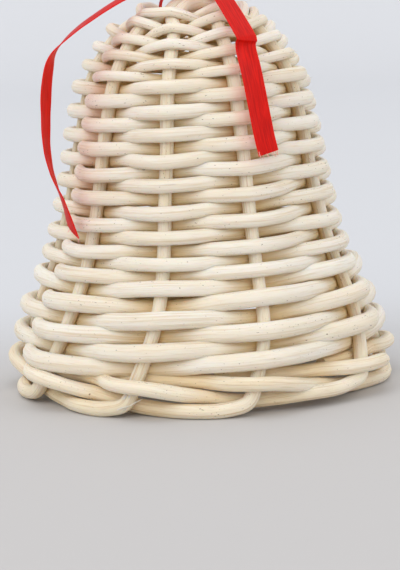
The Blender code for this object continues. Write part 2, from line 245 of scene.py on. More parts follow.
@dataclass(frozen=True)
class PeeledRattan:
    """Rattan core, drawn round through a die after peeling and left bare.

    Args:
        name: Name of the material.
        pale: Colour of the freshest stretches.
        warm: Colour of the older, yellower stretches.
        fibre: Colour of the fibre bundles that run lengthwise.
        painted_shade: Painted shade, a warm tint multiplied in where strands lie deep in the weave and
            touch.
        speck: Colour of pores.
        painted_red_bounce: Painted red reflection, a pink tint multiplied in near the red ribbon.
        lines: Strength of the fibre bundles.
        fibre_mm: Distance between fibre bundles. Real ones lie 0.3 mm apart, drawn coarser so they show.
    """

    name: str
    pale: str = "#EDE6D8"
    warm: str = "#E9DDC7"
    fibre: str = "#C6A778"
    # Painted shade deep in the weave
    painted_shade: str = "#FFE6B4"
    speck: str = "#5E3E20"
    # Painted reflection of the red ribbon
    painted_red_bounce: str = "#F2AA9C"
    lines: float = 0.50
    fibre_mm: float = 0.50

    def make(self) -> bpy.types.Material:
        """Builds the material.

        Returns:
            The material, for rods that carry the rod_place and rod_marks attributes.
        """
        material, tree, shader = new_material(self.name)
        place = add_node(tree, "ShaderNodeAttribute", attribute_name=ROD_PLACE).outputs["Vector"]
        marks = add_node(tree, "ShaderNodeAttribute", attribute_name=ROD_MARKS).outputs["Vector"]
        # Marks: random age, painted shade deep in the weave, and painted red reflection near the ribbon
        tone, painted_shade, painted_red_bounce = add_node(tree, "ShaderNodeSeparateXYZ", {0: marks}).outputs

        # Cane is a bundle of long fibres, so every mark lies close across the strand and long along it
        bundles = 1.0 / self.fibre_mm
        grains = (
            Grain(bundles, 0.035, 3.0),
            Grain(3.1 * bundles, 0.25, 2.0),
            Grain(2.0 * bundles, 1.4, 1.0),
            Grain(0.35, 0.07, 1.0),
            Grain(0.30, 0.045, 2.0),
        )
        noises = []
        for grain in grains:
            scaled = add_node(
                tree,
                "ShaderNodeVectorMath",
                {0: place, 1: (grain.across, grain.across, grain.along)},
                operation="MULTIPLY",
            )
            texture = add_node(
                tree,
                "ShaderNodeTexNoise",
                {"Vector": scaled.outputs[0], "Scale": 1.0, "Detail": grain.detail, "Roughness": 0.55},
            )
            noises.append(texture.outputs[0])
        fibres, hairs, pores, regions, patches = noises

        # The die tears pores open only here and there
        torn = add_node(tree, "ShaderNodeMath", {0: regions, 1: 0.20, 2: -0.10}, operation="MULTIPLY_ADD")
        pores = add_node(tree, "ShaderNodeMath", {0: pores, 1: torn.outputs[0]}, operation="ADD").outputs[0]
        age = add_node(tree, "ShaderNodeMath", {0: patches, 1: tone}, operation="ADD").outputs[0]
        layers = (
            (age, 0.36, 0.68, 1.0, self.warm, "MIX"),
            (fibres, 0.53, 0.70, self.lines, self.fibre, "MIX"),
            (hairs, 0.54, 0.72, 0.6 * self.lines, self.fibre, "MIX"),
            (pores, 0.735, 0.770, 0.80, self.speck, "MIX"),
            # Painted shade deep in the weave, then painted red reflection near the ribbon
            (painted_shade, 0.0, 1.0, 1.0, self.painted_shade, "MULTIPLY"),
            (painted_red_bounce, 0.0, 1.0, 1.0, self.painted_red_bounce, "MULTIPLY"),
        )
        colour = linear(self.pale)
        for value, low, high, strength, tint, blend in layers:
            share = add_node(
                tree,
                "ShaderNodeMapRange",
                {"Value": value, "From Min": low, "From Max": high, "To Max": strength},
            ).outputs[0]
            colour = add_node(
                tree,
                "ShaderNodeMix",
                {0: share, 6: colour, 7: linear(tint)},
                data_type="RGBA",
                blend_type=blend,
            ).outputs[2]
        tree.links.new(colour, shader.inputs["Base Color"])

        relief = add_node(
            tree, "ShaderNodeMath", {0: hairs, 1: 0.6, 2: fibres}, operation="MULTIPLY_ADD"
        ).outputs[0]
        bump = add_node(
            tree, "ShaderNodeBump", {"Strength": 0.8, "Distance": 0.22 * MM, "Height": relief}
        )
        tree.links.new(bump.outputs[0], shader.inputs["Normal"])
        # Peeled core has no skin, so it is matt, with a slight sheen along the fibres
        gloss = add_node(
            tree,
            "ShaderNodeMapRange",
            {"Value": fibres, "From Min": 0.3, "From Max": 0.7, "To Min": 0.56, "To Max": 0.72},
        )
        tree.links.new(gloss.outputs[0], shader.inputs["Roughness"])
        shader.inputs["IOR"].default_value = 1.48
        shader.inputs["Specular IOR Level"].default_value = 0.28
        # Light soaks a little way into the pale cane, which keeps its shaded sides warm
        shader.inputs["Subsurface Weight"].default_value = 0.50
        shader.inputs["Subsurface Radius"].default_value = (1.0, 0.68, 0.38)
        shader.inputs["Subsurface Scale"].default_value = 1.3 * MM
        return material


@dataclass(frozen=True)
class RedSatin:
    """Narrow polyester satin ribbon, woven with long floats and dyed red.

    Args:
        name: Name of the material.
        body: Colour of the face.
        shade: Colour between the threads, painted shade.
        selvedge: Colour of the woven edges.
        glow: Colour of the light that comes through from behind.
        thread_mm: Distance between threads. Real ones lie 0.1 mm apart, drawn coarser so that they show.
        changes_to_mm: Changes of tone along a thread, to a millimetre.
        width_mm: Width of the ribbon, edge to edge.
        edge_mm: Distance from the edge at which the selvedge starts, and at which it is full.
        glow_share: Share of the cloth that lets light through.
    """

    name: str
    body: str = "#E8170B"
    shade: str = "#B40A05"
    selvedge: str = "#DC140A"
    glow: str = "#FF3A20"
    thread_mm: float = 0.30
    changes_to_mm: float = 0.16
    width_mm: float = 4.5
    edge_mm: tuple[float, float] = (0.45, 0.20)
    glow_share: float = 0.36

    def make(self) -> bpy.types.Material:
        """Builds the material.

        Returns:
            The material, for strips that carry the strip_place attribute.
        """
        material, tree, shader = new_material(self.name)
        place = add_node(tree, "ShaderNodeAttribute", attribute_name=STRIP_PLACE).outputs["Vector"]
        split = add_node(tree, "ShaderNodeSeparateXYZ", {0: place})
        scaled = add_node(
            tree,
            "ShaderNodeVectorMath",
            {0: place, 1: (1.0 / self.thread_mm, self.changes_to_mm, 1.0)},
            operation="MULTIPLY",
        )
        threads = add_node(
            tree,
            "ShaderNodeTexNoise",
            {"Vector": scaled.outputs[0], "Scale": 1.0, "Detail": 2.0, "Roughness": 0.6},
        ).outputs[0]
        # Painted shade between the threads: darker where the thread noise, which also sets the bump, is low
        floats = add_node(
            tree,
            "ShaderNodeMapRange",
            {"Value": threads, "From Min": 0.35, "From Max": 0.65},
        ).outputs[0]
        colour = add_node(
            tree,
            "ShaderNodeMix",
            {0: floats, 6: linear(self.shade), 7: linear(self.body)},
            data_type="RGBA",
        ).outputs[2]
        edge = add_node(tree, "ShaderNodeMath", {0: split.outputs[0]}, operation="ABSOLUTE").outputs[0]
        starts, full = (0.5 * self.width_mm - inward for inward in self.edge_mm)
        edge = add_node(
            tree, "ShaderNodeMapRange", {"Value": edge, "From Min": starts, "From Max": full}
        ).outputs[0]
        colour = add_node(
            tree,
            "ShaderNodeMix",
            {0: edge, 6: colour, 7: linear(self.selvedge)},
            data_type="RGBA",
        ).outputs[2]
        tree.links.new(colour, shader.inputs["Base Color"])
        bump = add_node(
            tree, "ShaderNodeBump", {"Strength": 0.5, "Distance": 0.12 * MM, "Height": threads}
        )
        tree.links.new(bump.outputs[0], shader.inputs["Normal"])
        # Satin floats throw back a soft highlight that runs across the threads
        shader.inputs["Roughness"].default_value = 0.42
        shader.inputs["IOR"].default_value = 1.54
        shader.inputs["Specular IOR Level"].default_value = 0.14
        # The cloth is thin enough for some of the light behind it to show
        through = add_node(tree, "ShaderNodeBsdfTranslucent", {"Color": linear(self.glow)})
        both = add_node(
            tree, "ShaderNodeMixShader", {0: self.glow_share, 1: shader.outputs[0], 2: through.outputs[0]}
        )
        tree.links.new(both.outputs[0], tree.nodes["Material Output"].inputs["Surface"])
        return material


@dataclass(frozen=True)
class DyedThread:
    """Loose polyester threads at the ribbon's cut ends, paler than the woven face.

    Args:
        name: Name of the material.
        body: Colour of the redder threads.
        tip: Colour of the paler ones.
        patches_to_mm: Changes of tone to a millimetre.
    """

    name: str
    body: str = "#EE7A6C"
    tip: str = "#F6C9BE"
    patches_to_mm: float = 1.4

    def make(self) -> bpy.types.Material:
        """Builds the material.

        Returns:
            The material, mixed from two tones along each thread.
        """
        material, tree, shader = new_material(self.name)
        place = add_node(tree, "ShaderNodeAttribute", attribute_name=ROD_PLACE).outputs["Vector"]
        texture = add_node(
            tree, "ShaderNodeTexNoise", {"Vector": place, "Scale": self.patches_to_mm, "Detail": 1.0}
        ).outputs[0]
        colour = add_node(
            tree,
            "ShaderNodeMix",
            {0: texture, 6: linear(self.body), 7: linear(self.tip)},
            data_type="RGBA",
        ).outputs[2]
        tree.links.new(colour, shader.inputs["Base Color"])
        shader.inputs["Roughness"].default_value = 0.5
        return material


@dataclass(frozen=True)
class SeamlessPaper:
    """Matt paper sweep, painted warm grey in front and cooler and lighter behind: painted light for the
    brighter backdrop.

    Args:
        name: Name of the material.
        lying: Colour in front.
        rising: Colour behind, lighter and cooler as painted light.
        blend_from: Place, from front to back, where the change starts.
        blend_to: Place where it ends.
        grains_to_mm: Grains of the paper to a millimetre.
    """

    name: str
    lying: str = "#BDBAB8"
    rising: str = "#CDCED1"
    blend_from: float = -0.04
    blend_to: float = 0.14
    grains_to_mm: float = 0.9

    def make(self) -> bpy.types.Material:
        """Builds the material.

        Returns:
            The material, painted lighter and cooler with the distance behind the bell, as painted light.
        """
        material, tree, shader = new_material(self.name)
        position = add_node(tree, "ShaderNodeNewGeometry").outputs["Position"]
        split = add_node(tree, "ShaderNodeSeparateXYZ", {0: position})
        # Painted light: lighter and cooler behind the bell, where the backdrop shows brighter
        share = add_node(
            tree,
            "ShaderNodeMapRange",
            {"Value": split.outputs[1], "From Min": self.blend_from, "From Max": self.blend_to},
            interpolation_type="SMOOTHSTEP",
        ).outputs[0]
        grain = add_node(
            tree,
            "ShaderNodeTexNoise",
            {"Vector": position, "Scale": self.grains_to_mm / MM, "Detail": 2.0},
        ).outputs[0]
        colour = add_node(
            tree,
            "ShaderNodeMix",
            {0: share, 6: linear(self.lying), 7: linear(self.rising)},
            data_type="RGBA",
        ).outputs[2]
        tree.links.new(colour, shader.inputs["Base Color"])
        bump = add_node(
            tree, "ShaderNodeBump", {"Strength": 0.05, "Distance": 0.1 * MM, "Height": grain}
        )
        tree.links.new(bump.outputs[0], shader.inputs["Normal"])
        shader.inputs["Roughness"].default_value = 0.8
        return material


@dataclass(frozen=True)
class Profile:
    """Curve that the stakes' centre lines follow from the crown down, as radius and height.

    Args:
        crown_height: Height of the crown's middle.
        knots: Points of the curve after it, down to the border.
        curve: The curve worked out from them.
        lengths: Length from the crown's middle to each point of the curve.
    """

    crown_height: float = 0.0865
    knots: tuple[tuple[float, float], ...] = (
        (0.0130, 0.0840),
        (0.0222, 0.0736),
        (0.0261, 0.0596),
        (0.0289, 0.0451),
        (0.0323, 0.0317),
        (0.0375, 0.0192),
        (0.0424, 0.0032),
    )
    curve: np.ndarray = field(init=False, repr=False, compare=False)
    lengths: np.ndarray = field(init=False, repr=False, compare=False)

    def __post_init__(self) -> None:
        """Works out the curve once."""
        curve = smooth_curve([(0.0, self.crown_height), *self.knots], 24)
        steps = np.linalg.norm(np.diff(curve, axis=0), axis=1)
        object.__setattr__(self, "curve", curve)
        object.__setattr__(self, "lengths", np.concatenate([[0.0], np.cumsum(steps)]))

    def point(self, length: float) -> Vector:
        """Place on the curve.

        Args:
            length: Length from the crown's middle.

        Returns:
            Radius and height.
        """
        radius = np.interp(length, self.lengths, self.curve[:, 0])
        height = np.interp(length, self.lengths, self.curve[:, 1])
        return Vector((float(radius), float(height)))

    def normal(self, length: float) -> Vector:
        """Outward normal of the wall.

        Args:
            length: Length from the crown's middle.

        Returns:
            Its radial and its upward share.
        """
        step = 0.4 * MM
        along = (self.point(length + step) - self.point(length - step)).normalized()
        return Vector((-along.y, along.x))

    def length_at(self, height: float) -> float:
        """Length from the crown's middle to a height on the wall."""
        return float(np.interp(-height, -self.curve[:, 1], self.lengths))

    def length_at_radius(self, radius: float) -> float:
        """Length from the crown's middle to a distance from the axis."""
        return float(np.interp(radius, self.curve[:, 0], self.lengths))

    def outward(self, vertices: np.ndarray) -> np.ndarray:
        """How far each vertex lies outside the stakes' centre lines, across the wall.

        Args:
            vertices: Places, one row each.

        Returns:
            Distances, negative inside, near 0 on the crown's flat middle.
        """
        heights = self.curve[::-1, 1]
        radii = np.interp(vertices[:, 2], heights, self.curve[::-1, 0])
        slopes = np.gradient(self.curve[::-1, 0], heights)
        steep = 1.0 / np.sqrt(1.0 + np.interp(vertices[:, 2], heights, slopes) ** 2)
        return (np.hypot(vertices[:, 0], vertices[:, 1]) - radii) * steep


@dataclass
class Rod:
    """A round rod along a route, with the marks that its material reads.

    Args:
        route: Centre line, one row to a ring, already smooth.
        radius: Radius of the rod.
        tones: Age of the rod at each ring, added to its own patches.
        seed: Number that sets the rod's own irregularities.
        sides: Number of sides of its section.
        unevenness: How much its thickness varies, as a share.
        swell_mm: Length over which its thickness varies.
        oval_share: How far it goes out of round, as a share of the unevenness.
        oval_mm: Length over which it does.
        turn_reach: Angle by which its longer width turns to and fro round the section.
        turn_mm: Length over which that turns.
        apart_mm: Distance in the material's pattern between one seed and the next.
        ups: Direction up the wall at each ring, for a rod that is pressed oval.
        tall: Height of each ring up the wall, as a share of the round rod's.
        shares: Thickness of each ring, as a share of the rod's.
    """

    route: np.ndarray
    radius: float
    tones: np.ndarray
    seed: int
    sides: int = 14
    unevenness: float = 0.035
    swell_mm: float = 9.0
    oval_share: float = 0.6
    oval_mm: float = 14.0
    turn_reach: float = 1.7
    turn_mm: float = 40.0
    apart_mm: float = 31.0
    ups: np.ndarray | None = None
    tall: np.ndarray | None = None
    shares: np.ndarray | None = None

    def mesh_data(self) -> MeshPart:
        """Works out the rod's rings.

        Returns:
            Vertices, faces, rod places in millimetres, and marks, one row each.
        """
        route = self.route
        count = len(route)
        ways = np.diff(route, axis=0)
        spans = np.linalg.norm(ways, axis=1)
        ways /= spans[:, None]
        tangents = np.vstack([ways[:1], ways[:-1] + ways[1:], ways[-1:]])
        tangents /= np.linalg.norm(tangents, axis=1)[:, None]
        places = np.concatenate([[0.0], np.cumsum(spans)])
        up = np.array(Vector((0.0, 0.0, 1.0)))
        if abs(tangents[0] @ up) > 0.9:
            up = np.array((1.0, 0.0, 0.0))
        angles = np.arange(self.sides) * tau / self.sides
        vertices = np.empty((count, self.sides, 3))
        coords = np.empty((count, self.sides, 3))
        marks = np.zeros((count, self.sides, 3))
        up = up - tangents[0] * (up @ tangents[0])
        up /= np.linalg.norm(up)
        for i in range(count):
            tangent = tangents[i]
            if self.ups is not None:
                up = self.ups[i]
            up = up - tangent * (up @ tangent)
            up /= np.linalg.norm(up)
            side = np.cross(tangent, up)
            along = places[i] / MM
            swell = 1.0 + self.unevenness * drift(along / self.swell_mm, self.seed)
            swell *= 1.0 if self.shares is None else self.shares[i]
            oval = self.oval_share * self.unevenness * drift(along / self.oval_mm, self.seed + 0.5)
            turn = self.turn_reach * drift(along / self.turn_mm, self.seed + 0.25)
            radii = self.radius * swell * (1.0 + oval * np.cos(2 * (angles + turn)))
            height = 1.0 if self.tall is None else self.tall[i]
            ring = np.outer(np.cos(angles) * radii * height, up) + np.outer(np.sin(angles) * radii, side)
            vertices[i] = route[i] + ring
            coords[i, :, 0] = np.cos(angles) * self.radius / MM + self.apart_mm * self.seed
            coords[i, :, 1] = np.sin(angles) * self.radius / MM
            coords[i, :, 2] = along
            marks[i, :, 0] = self.tones[i]
        corners = np.arange(self.sides)
        following = (corners + 1) % self.sides
        rings = np.arange(count - 1)[:, None] * self.sides
        beyond = rings + self.sides
        faces = np.stack(
            [rings + corners, rings + following, beyond + following, beyond + corners],
            axis=2,
        ).reshape(-1, 4)
        return vertices.reshape(-1, 3), faces, coords.reshape(-1, 3), marks.reshape(-1, 3)


@dataclass
class Stakes:
    """The nine stakes, their rods over the crown and the plaited border.

    Args:
        profile: Curve of the wall.
        count: Number of stakes.
        radius: Radius of the rods.
        first_angle: Angle of the ninth, single stake.
        lane: Half the distance between the rods of a pair in the crown.
        crossing_reach: Distance from the axis within which one pair lies on the other.
        ninth_start: Distance from the axis at which the ninth stake starts.
        weave_start: Distance from the axis at which the weaver starts.
        spread_end: Distance from the axis at which the pairs have spread into single stakes.
        shifts: Degrees by which each stake stands off its even place.
        lean_start: Height below which the stakes turn to the left.
        lean_share: Spacings that they have turned by at the floor.
        wander: Angle by which a stake strays from its line.
        wander_mm: Length over which it strays.
        front_strand: Height of a border strand where it passes in front of a stake.
        back_strand: Height of the strand's end behind the next ones.
        strand_gap: Gap between strands that pass each other.
        tuck: How much further in a strand runs where others lie over it.
        nudge: Small step by which a strand clears what it passes.
        raised_stake: Stake whose border strand rides high.
        raised_by: How far it does.
        raised_heights: Heights on the stake between which the rise fades upwards.
        raised_places: Spacings to the left between which it fades along the border.
        border_swell: How much thicker the border's strands are, as a share.
        border_top: Height above which the rods are no thicker or older.
        border_age: How much older the border looks than the wall.
        wall_youth: How much fresher the wall looks than even.
        step: Distance between rings.
    """

    profile: Profile
    count: int = 9
    radius: float = 0.0015
    first_angle: float = radians(96)
    lane: float = 0.00152
    crossing_reach: float = 0.0036
    ninth_start: float = 0.0065
    weave_start: float = 0.0093
    spread_end: float = 0.0155
    shifts: tuple[int, ...] = (-8, -4, 0, 2, -3, 0, 4, 1, -4)
    lean_start: float = 0.0300
    lean_share: float = 0.33
    wander: float = radians(0.5)
    wander_mm: float = 17.0
    front_strand: float = 0.0072
    back_strand: float = 0.0078
    strand_gap: float = 0.00015
    tuck: float = 0.00035
    nudge: float = 0.0001
    raised_stake: int = 3
    raised_by: float = 0.0018
    raised_heights: tuple[float, float] = (0.003, 0.010)
    raised_places: tuple[float, float] = (0.7, 1.5)
    border_swell: float = 0.08
    border_top: float = 0.012
    border_age: float = 0.16
    wall_youth: float = 0.03
    step: float = 0.0008

    @property
    def spacing(self) -> float:
        """Angle between two stakes."""
        return tau / self.count

    def angle(self, place: float) -> float:
        """Angle of a place round the wall.

        Args:
            place: Number of a stake, or a share between two.

        Returns:
            Angle, with each stake's own shift.
        """
        stake = floor(place)
        share = place - stake
        here, there = (self.shifts[(stake + k) % self.count] for k in (0, 1))
        return self.first_angle - place * self.spacing + radians(here + share * (there - here))

    def arm(self, stake: int) -> tuple[float, float]:
        """Arm of the crown that a stake belongs to.

        Args:
            stake: Number of the stake.

        Returns:
            Angle of the arm, and the stake's side of it.
        """
        if stake == 0:
            return self.angle(0), 0.0
        first = stake - (stake - 1) % 2
        return (self.angle(first) + self.angle(first + 1)) / 2, 1.0 if stake == first else -1.0

    def lean(self, height: float) -> float:
        """How far, in spacings, the stakes have turned to the left at a height near the foot."""
        share = max(self.lean_start - height, 0.0) / self.lean_start
        return self.lean_share * share * share

    def place(self, stake: int, length: float) -> tuple[float, float]:
        """Radius and angle of a stake's centre line.

        Args:
            stake: Number of the stake.
            length: Length along the profile from the crown's middle.

        Returns:
            Radius and angle.
        """
        point = self.profile.point(length)
        arm, side = self.arm(stake)
        lane_angle = arm + side * atan2(self.lane, max(point.x, MM))
        lane_radius = hypot(point.x, side * self.lane)
        spread = smooth_step(self.weave_start, self.spread_end, point.x)
        wall_angle = self.angle(stake + self.lean(point.y))
        angle = lane_angle + spread * (wall_angle - lane_angle)
        return lane_radius + spread * (point.x - lane_radius), angle

    def crossing_rise(self, stake: int, radius: float) -> float:
        """How far a rod is raised or lowered where the two pairs cross.

        Args:
            stake: Number of a stake that the rod makes.
            radius: Distance from the axis.

        Returns:
            Height above the profile.
        """
        if stake == 0:
            return 0.0
        layer = 1.0 if (stake - 1) // 2 % 2 == 0 else -1.0
        return layer * self.lane * (1.0 - smooth_step(self.crossing_reach, self.weave_start, radius))

    def border_route(self) -> list[tuple[float, float, float]]:
        """Centre line of a stake's border stretch.

        Returns:
            Spacings to the left, radius and height of each point.
        """
        ground = self.radius * (1.0 + self.border_swell)
        over = 2 * self.radius + self.strand_gap
        outside = self.profile.knots[-1][0]
        inside = outside - over - self.tuck
        front = self.profile.point(self.profile.length_at(self.front_strand)).x + over + self.nudge
        behind = self.profile.point(self.profile.length_at(self.back_strand)).x - over
        top = self.front_strand + 2 * self.nudge
        rise = self.front_strand - ground
        swing = front - inside
        depth = front - behind
        # On the floor outside, then in under the next strands, out and up over them, and in behind the rest
        return [
            (0.42, outside, ground + 3 * self.nudge),
            (0.55, outside, ground),
            (0.80, outside - 0.25 * over, ground + self.nudge),
            (1.02, inside + 0.20 * over, ground + 0.02 * rise),
            (1.24, inside, ground + 0.12 * rise),
            (1.42, inside, ground + 0.28 * rise),
            (1.60, inside + 0.08 * swing, ground + 0.45 * rise),
            (1.80, inside + 0.48 * swing, ground + 0.67 * rise),
            (1.96, inside + 0.86 * swing, ground + 0.88 * rise),
            (2.10, front, self.front_strand),
            (2.24, front - 2 * self.nudge, top),
            (2.42, behind + 0.62 * depth, top),
            (2.60, behind + 0.12 * depth, top + self.nudge),
            (2.80, behind, (top + self.back_strand) / 2),
            (3.00, behind, self.back_strand),
            (3.30, behind - 3 * self.nudge, self.back_strand + 2 * self.nudge),
            (3.52, behind - 5 * self.nudge, self.back_strand + 3 * self.nudge),
        ]

    def centres(self, stake: int) -> list[Vector]:
        """Points of one stake's centre line, from the crossing down the wall and round the border.

        Args:
            stake: Number of the stake.

        Returns:
            The points, to be joined by a smooth curve.
        """
        start = self.ninth_start if stake == 0 else self.crossing_reach
        shoulder = self.profile.length_at(self.profile.knots[1][1])
        lean_start = self.profile.length_at(self.lean_start)
        bend = self.profile.length_at(self.profile.knots[-1][1])
        crown = np.linspace(start, shoulder, 7)
        wall = np.linspace(shoulder, lean_start, 10)[1:]
        foot = np.linspace(lean_start, bend, 6)[1:]
        raised = self.raised_by if stake == self.raised_stake else 0.0
        centres = []
        for length in [*crown, *wall, *foot]:
            radius, angle = self.place(stake, length)
            axial = self.profile.point(length)
            wander = self.wander * drift(length / MM / self.wander_mm, 40.0 + stake)
            height = axial.y + self.crossing_rise(stake, axial.x)
            height += raised * (1.0 - smooth_step(*self.raised_heights, axial.y))
            centres.append(polar(radius, angle + wander, height))
        for left, radius, height in self.border_route():
            height += raised * (1.0 - smooth_step(*self.raised_places, left))
            centres.append(polar(radius, self.angle(stake + left), height))
        return centres

    def rod(self, stakes: Sequence[int]) -> Rod:
        """One rod: two stakes joined over the crown, or the ninth alone.

        Args:
            stakes: The stakes that it makes.

        Returns:
            The rod, ready to be built.
        """
        points = self.centres(stakes[0])
        if len(stakes) == 2:
            points = self.centres(stakes[1])[::-1] + points
        route = even_spacing(smooth_curve(points, 6), self.step)
        low = 1.0 - np.clip(route[:, 2] / self.border_top, 0.0, 1.0)
        shares = 1.0 + self.border_swell * np.minimum(2.5 * low, 1.0)
        tones = self.border_age * low - self.wall_youth
        return Rod(route, self.radius, tones, seed=11 + stakes[0], shares=shares)


@dataclass(frozen=True)
class WeaverStage:
    """A stretch of the spiral that is woven in one thickness of core.

    Args:
        radius: Radius of the core.
        rows: Rows that it makes.
        nodes: Solids that it stands for, one to a length of core.
    """

    radius: float
    rows: int
    nodes: tuple[str, ...]


@dataclass
class Weave:
    """The weaver's spiral from the crown to the border.

    Args:
        stakes: The stakes that it is woven round.
        stages: Stretches of the spiral, from the crown down.
        crown_end: Height at which the wall's core takes over from the crown's.
        wall_end: Height at which the foot's core takes over from the wall's.
        foot_end: Height at which the weaving ends.
        paired_rows: Rows at the crown that pass the stakes two at a time.
        steps: Rings to each crossing.
        straightness: Share of the way between two stakes that runs straight across the wall.
        sag: How far the weaver droops where it lies over a stake.
        tilt: How far the rows lie higher at the front than at the back, as a share of their radius.
        wave: Slow wander of a row up and down, as a share of the pitch.
        wave_rings: Rings over which it changes.
        quiver: Quick wander of it.
        quiver_rings: Rings over which it changes.
        looseness: How unevenly the weaver stands off the stakes, as a share.
        looseness_rings: Rings over which it changes.
        swell_over: How much taller the core is pressed over a stake, as a share.
        swell_between: How much taller it is all along the wall.
        thicken_height: Height over which the wall's core thickens towards the foot's.
        thicken_share: How much of the difference it makes up.
        ageing: How much the core's age varies along it.
        ageing_rings: Rings over which it changes.
        settling: Heights, and how far the row there has settled down the wall.
    """

    stakes: Stakes
    stages: tuple[WeaverStage, ...] = (
        WeaverStage(0.00105, 9, ("weaver_crown_1", "weaver_crown_2")),
        WeaverStage(0.00136, 17, ("weaver_wall_1", "weaver_wall_2", "weaver_wall_3", "weaver_wall_4")),
        WeaverStage(0.00172, 5, ("weaver_foot",)),
    )
    crown_end: float = 0.0715
    wall_end: float = 0.0262
    foot_end: float = 0.0101
    paired_rows: int = 2
    steps: int = 14
    straightness: float = 0.65
    sag: float = 0.00065
    tilt: float = 0.018
    wave: float = 0.06
    wave_rings: float = 37.0
    quiver: float = 0.07
    quiver_rings: float = 11.0
    looseness: float = 0.03
    looseness_rings: float = 23.0
    swell_over: float = 0.05
    swell_between: float = 0.15
    thicken_height: float = 0.006
    thicken_share: float = 0.85
    ageing: float = 0.10
    ageing_rings: float = 160.0
    settling: tuple[tuple[float, float], ...] = (
        (0.0100, 0.00025),
        (0.0200, 0.00060),
        (0.0280, 0.00015),
        (0.0340, -0.00020),
        (0.0410, -0.00055),
        (0.0440, -0.00095),
        (0.0500, -0.00115),
        (0.0620, -0.00100),
        (0.0700, -0.00060),
    )

    def settled(self, height: float) -> float:
        """How far down the wall the row at a height has settled, less where it was beaten up."""
        heights, drops = zip(*self.settling)
        return float(np.interp(height, heights, drops))

    def side(self, crossing: int) -> Side:
        """Side on which the weaver passes a stake.

        Args:
            crossing: Number of the crossing, counted down the spiral.

        Returns:
            Its side.
        """
        row, stake = divmod(crossing, self.stakes.count)
        if row < self.paired_rows:
            arms = (self.stakes.count + 1) // 2
            even = (row * arms + (stake + 1) // 2) % 2 == 0
        else:
            even = crossing % 2 == 0
        return Side.OUTSIDE if even else Side.INSIDE

    def turn(self, crossing: int, length: float) -> float:
        """Angle from a crossing's stake to the next one.

        Args:
            crossing: Number of the crossing.
            length: Length along the profile.

        Returns:
            Angle, to the left and so negative.
        """
        here = self.stakes.place(crossing % self.stakes.count, length)[1]
        there = self.stakes.place((crossing + 1) % self.stakes.count, length)[1]
        return (there - here + pi) % tau - pi

    def length(
        self, first: int, crossings: int, start: float, pitch: float, radius: float, seed: int
    ) -> Rod:
        """One length of weaver.

        Args:
            first: Its first crossing.
            crossings: Number of crossings.
            start: Length along the profile where it starts.
            pitch: Distance between rows.
            radius: Radius of the core.
            seed: Number that sets its irregularities.

        Returns:
            The rod, pressed oval where it lies over a stake and drooping a little there.
        """
        profile = self.stakes.profile
        reach = self.stakes.radius + radius
        points, ups, tall = [], [], []
        for step in range((crossings - 1) * self.steps + 1):
            whole, part = divmod(step, self.steps)
            share = part / self.steps
            crossing = first + whole
            along = start + pitch * (whole + share) / self.stakes.count
            angle = self.stakes.place(crossing % self.stakes.count, along)[1]
            angle += share * self.turn(crossing, along)
            ease = self.straightness * share + (1.0 - self.straightness) * (1.0 - cos(pi * share)) / 2
            here, there = self.side(crossing).value, self.side(crossing + 1).value
            swing = here + (there - here) * ease
            outside = max(swing, 0.0)
            steep = max(profile.normal(along).x, 0.0)
            place = profile.point(along)
            along += steep * (self.sag * outside + self.settled(place.y) - self.tilt * place.x * cos(angle))
            ring = first * self.steps + step
            along += pitch * self.wave * drift(ring / self.wave_rings, 3.0)
            along += pitch * self.quiver * drift(ring / self.quiver_rings, 3.4)
            loose = 1.0 + self.looseness * drift(step / self.looseness_rings, seed + 0.7)
            offset = reach * swing * loose
            normal = profile.normal(along)
            point = profile.point(along) + offset * normal
            points.append(polar(point.x, angle, point.y))
            ups.append(polar(-normal.y, angle, normal.x))
            near_foot = 1.0 - smooth_step(self.wall_end, self.wall_end + self.thicken_height, point.y)
            thicker = self.thicken_share * near_foot * (self.stages[-1].radius / radius - 1.0)
            tall.append(1.0 + thicker + steep * (self.swell_between + self.swell_over * outside))
        ages = [drift(step / self.ageing_rings, seed + 0.9) for step in range(len(points))]
        tones = self.ageing * np.array(ages)
        return Rod(
            np.array(points),
            radius,
            tones,
            seed=seed,
            sides=12,
            ups=np.array(ups),
            tall=np.array(tall),
        )

    def rods(self) -> list[tuple[Rod, str]]:
        """All lengths of weaver.

        Returns:
            Each length's rod, and the solid that it stands for.
        """
        profile = self.stakes.profile
        ends = [profile.length_at(height) for height in (self.crown_end, self.wall_end, self.foot_end)]
        starts = [profile.length_at_radius(self.stakes.weave_start), ends[0], ends[1]]
        rods = []
        crossing = 0
        thinner = self.stages[0].radius
        for number, stage in enumerate(self.stages):
            start = starts[number] + stage.radius - thinner
            pitch = (ends[number] - start) / stage.rows
            thinner = stage.radius
            row = 0
            for length, node in enumerate(stage.nodes):
                next_row = stage.rows * (length + 1) // len(stage.nodes)
                crossings = (next_row - row) * self.stakes.count
                first = crossing + row * self.stakes.count
                seed = 101 + 10 * number + length
                begin = start + row * pitch
                rod = self.length(first, crossings + 1, begin, pitch, stage.radius, seed)
                rods.append((rod, node))
                row = next_row
            crossing += stage.rows * self.stakes.count
        return rods


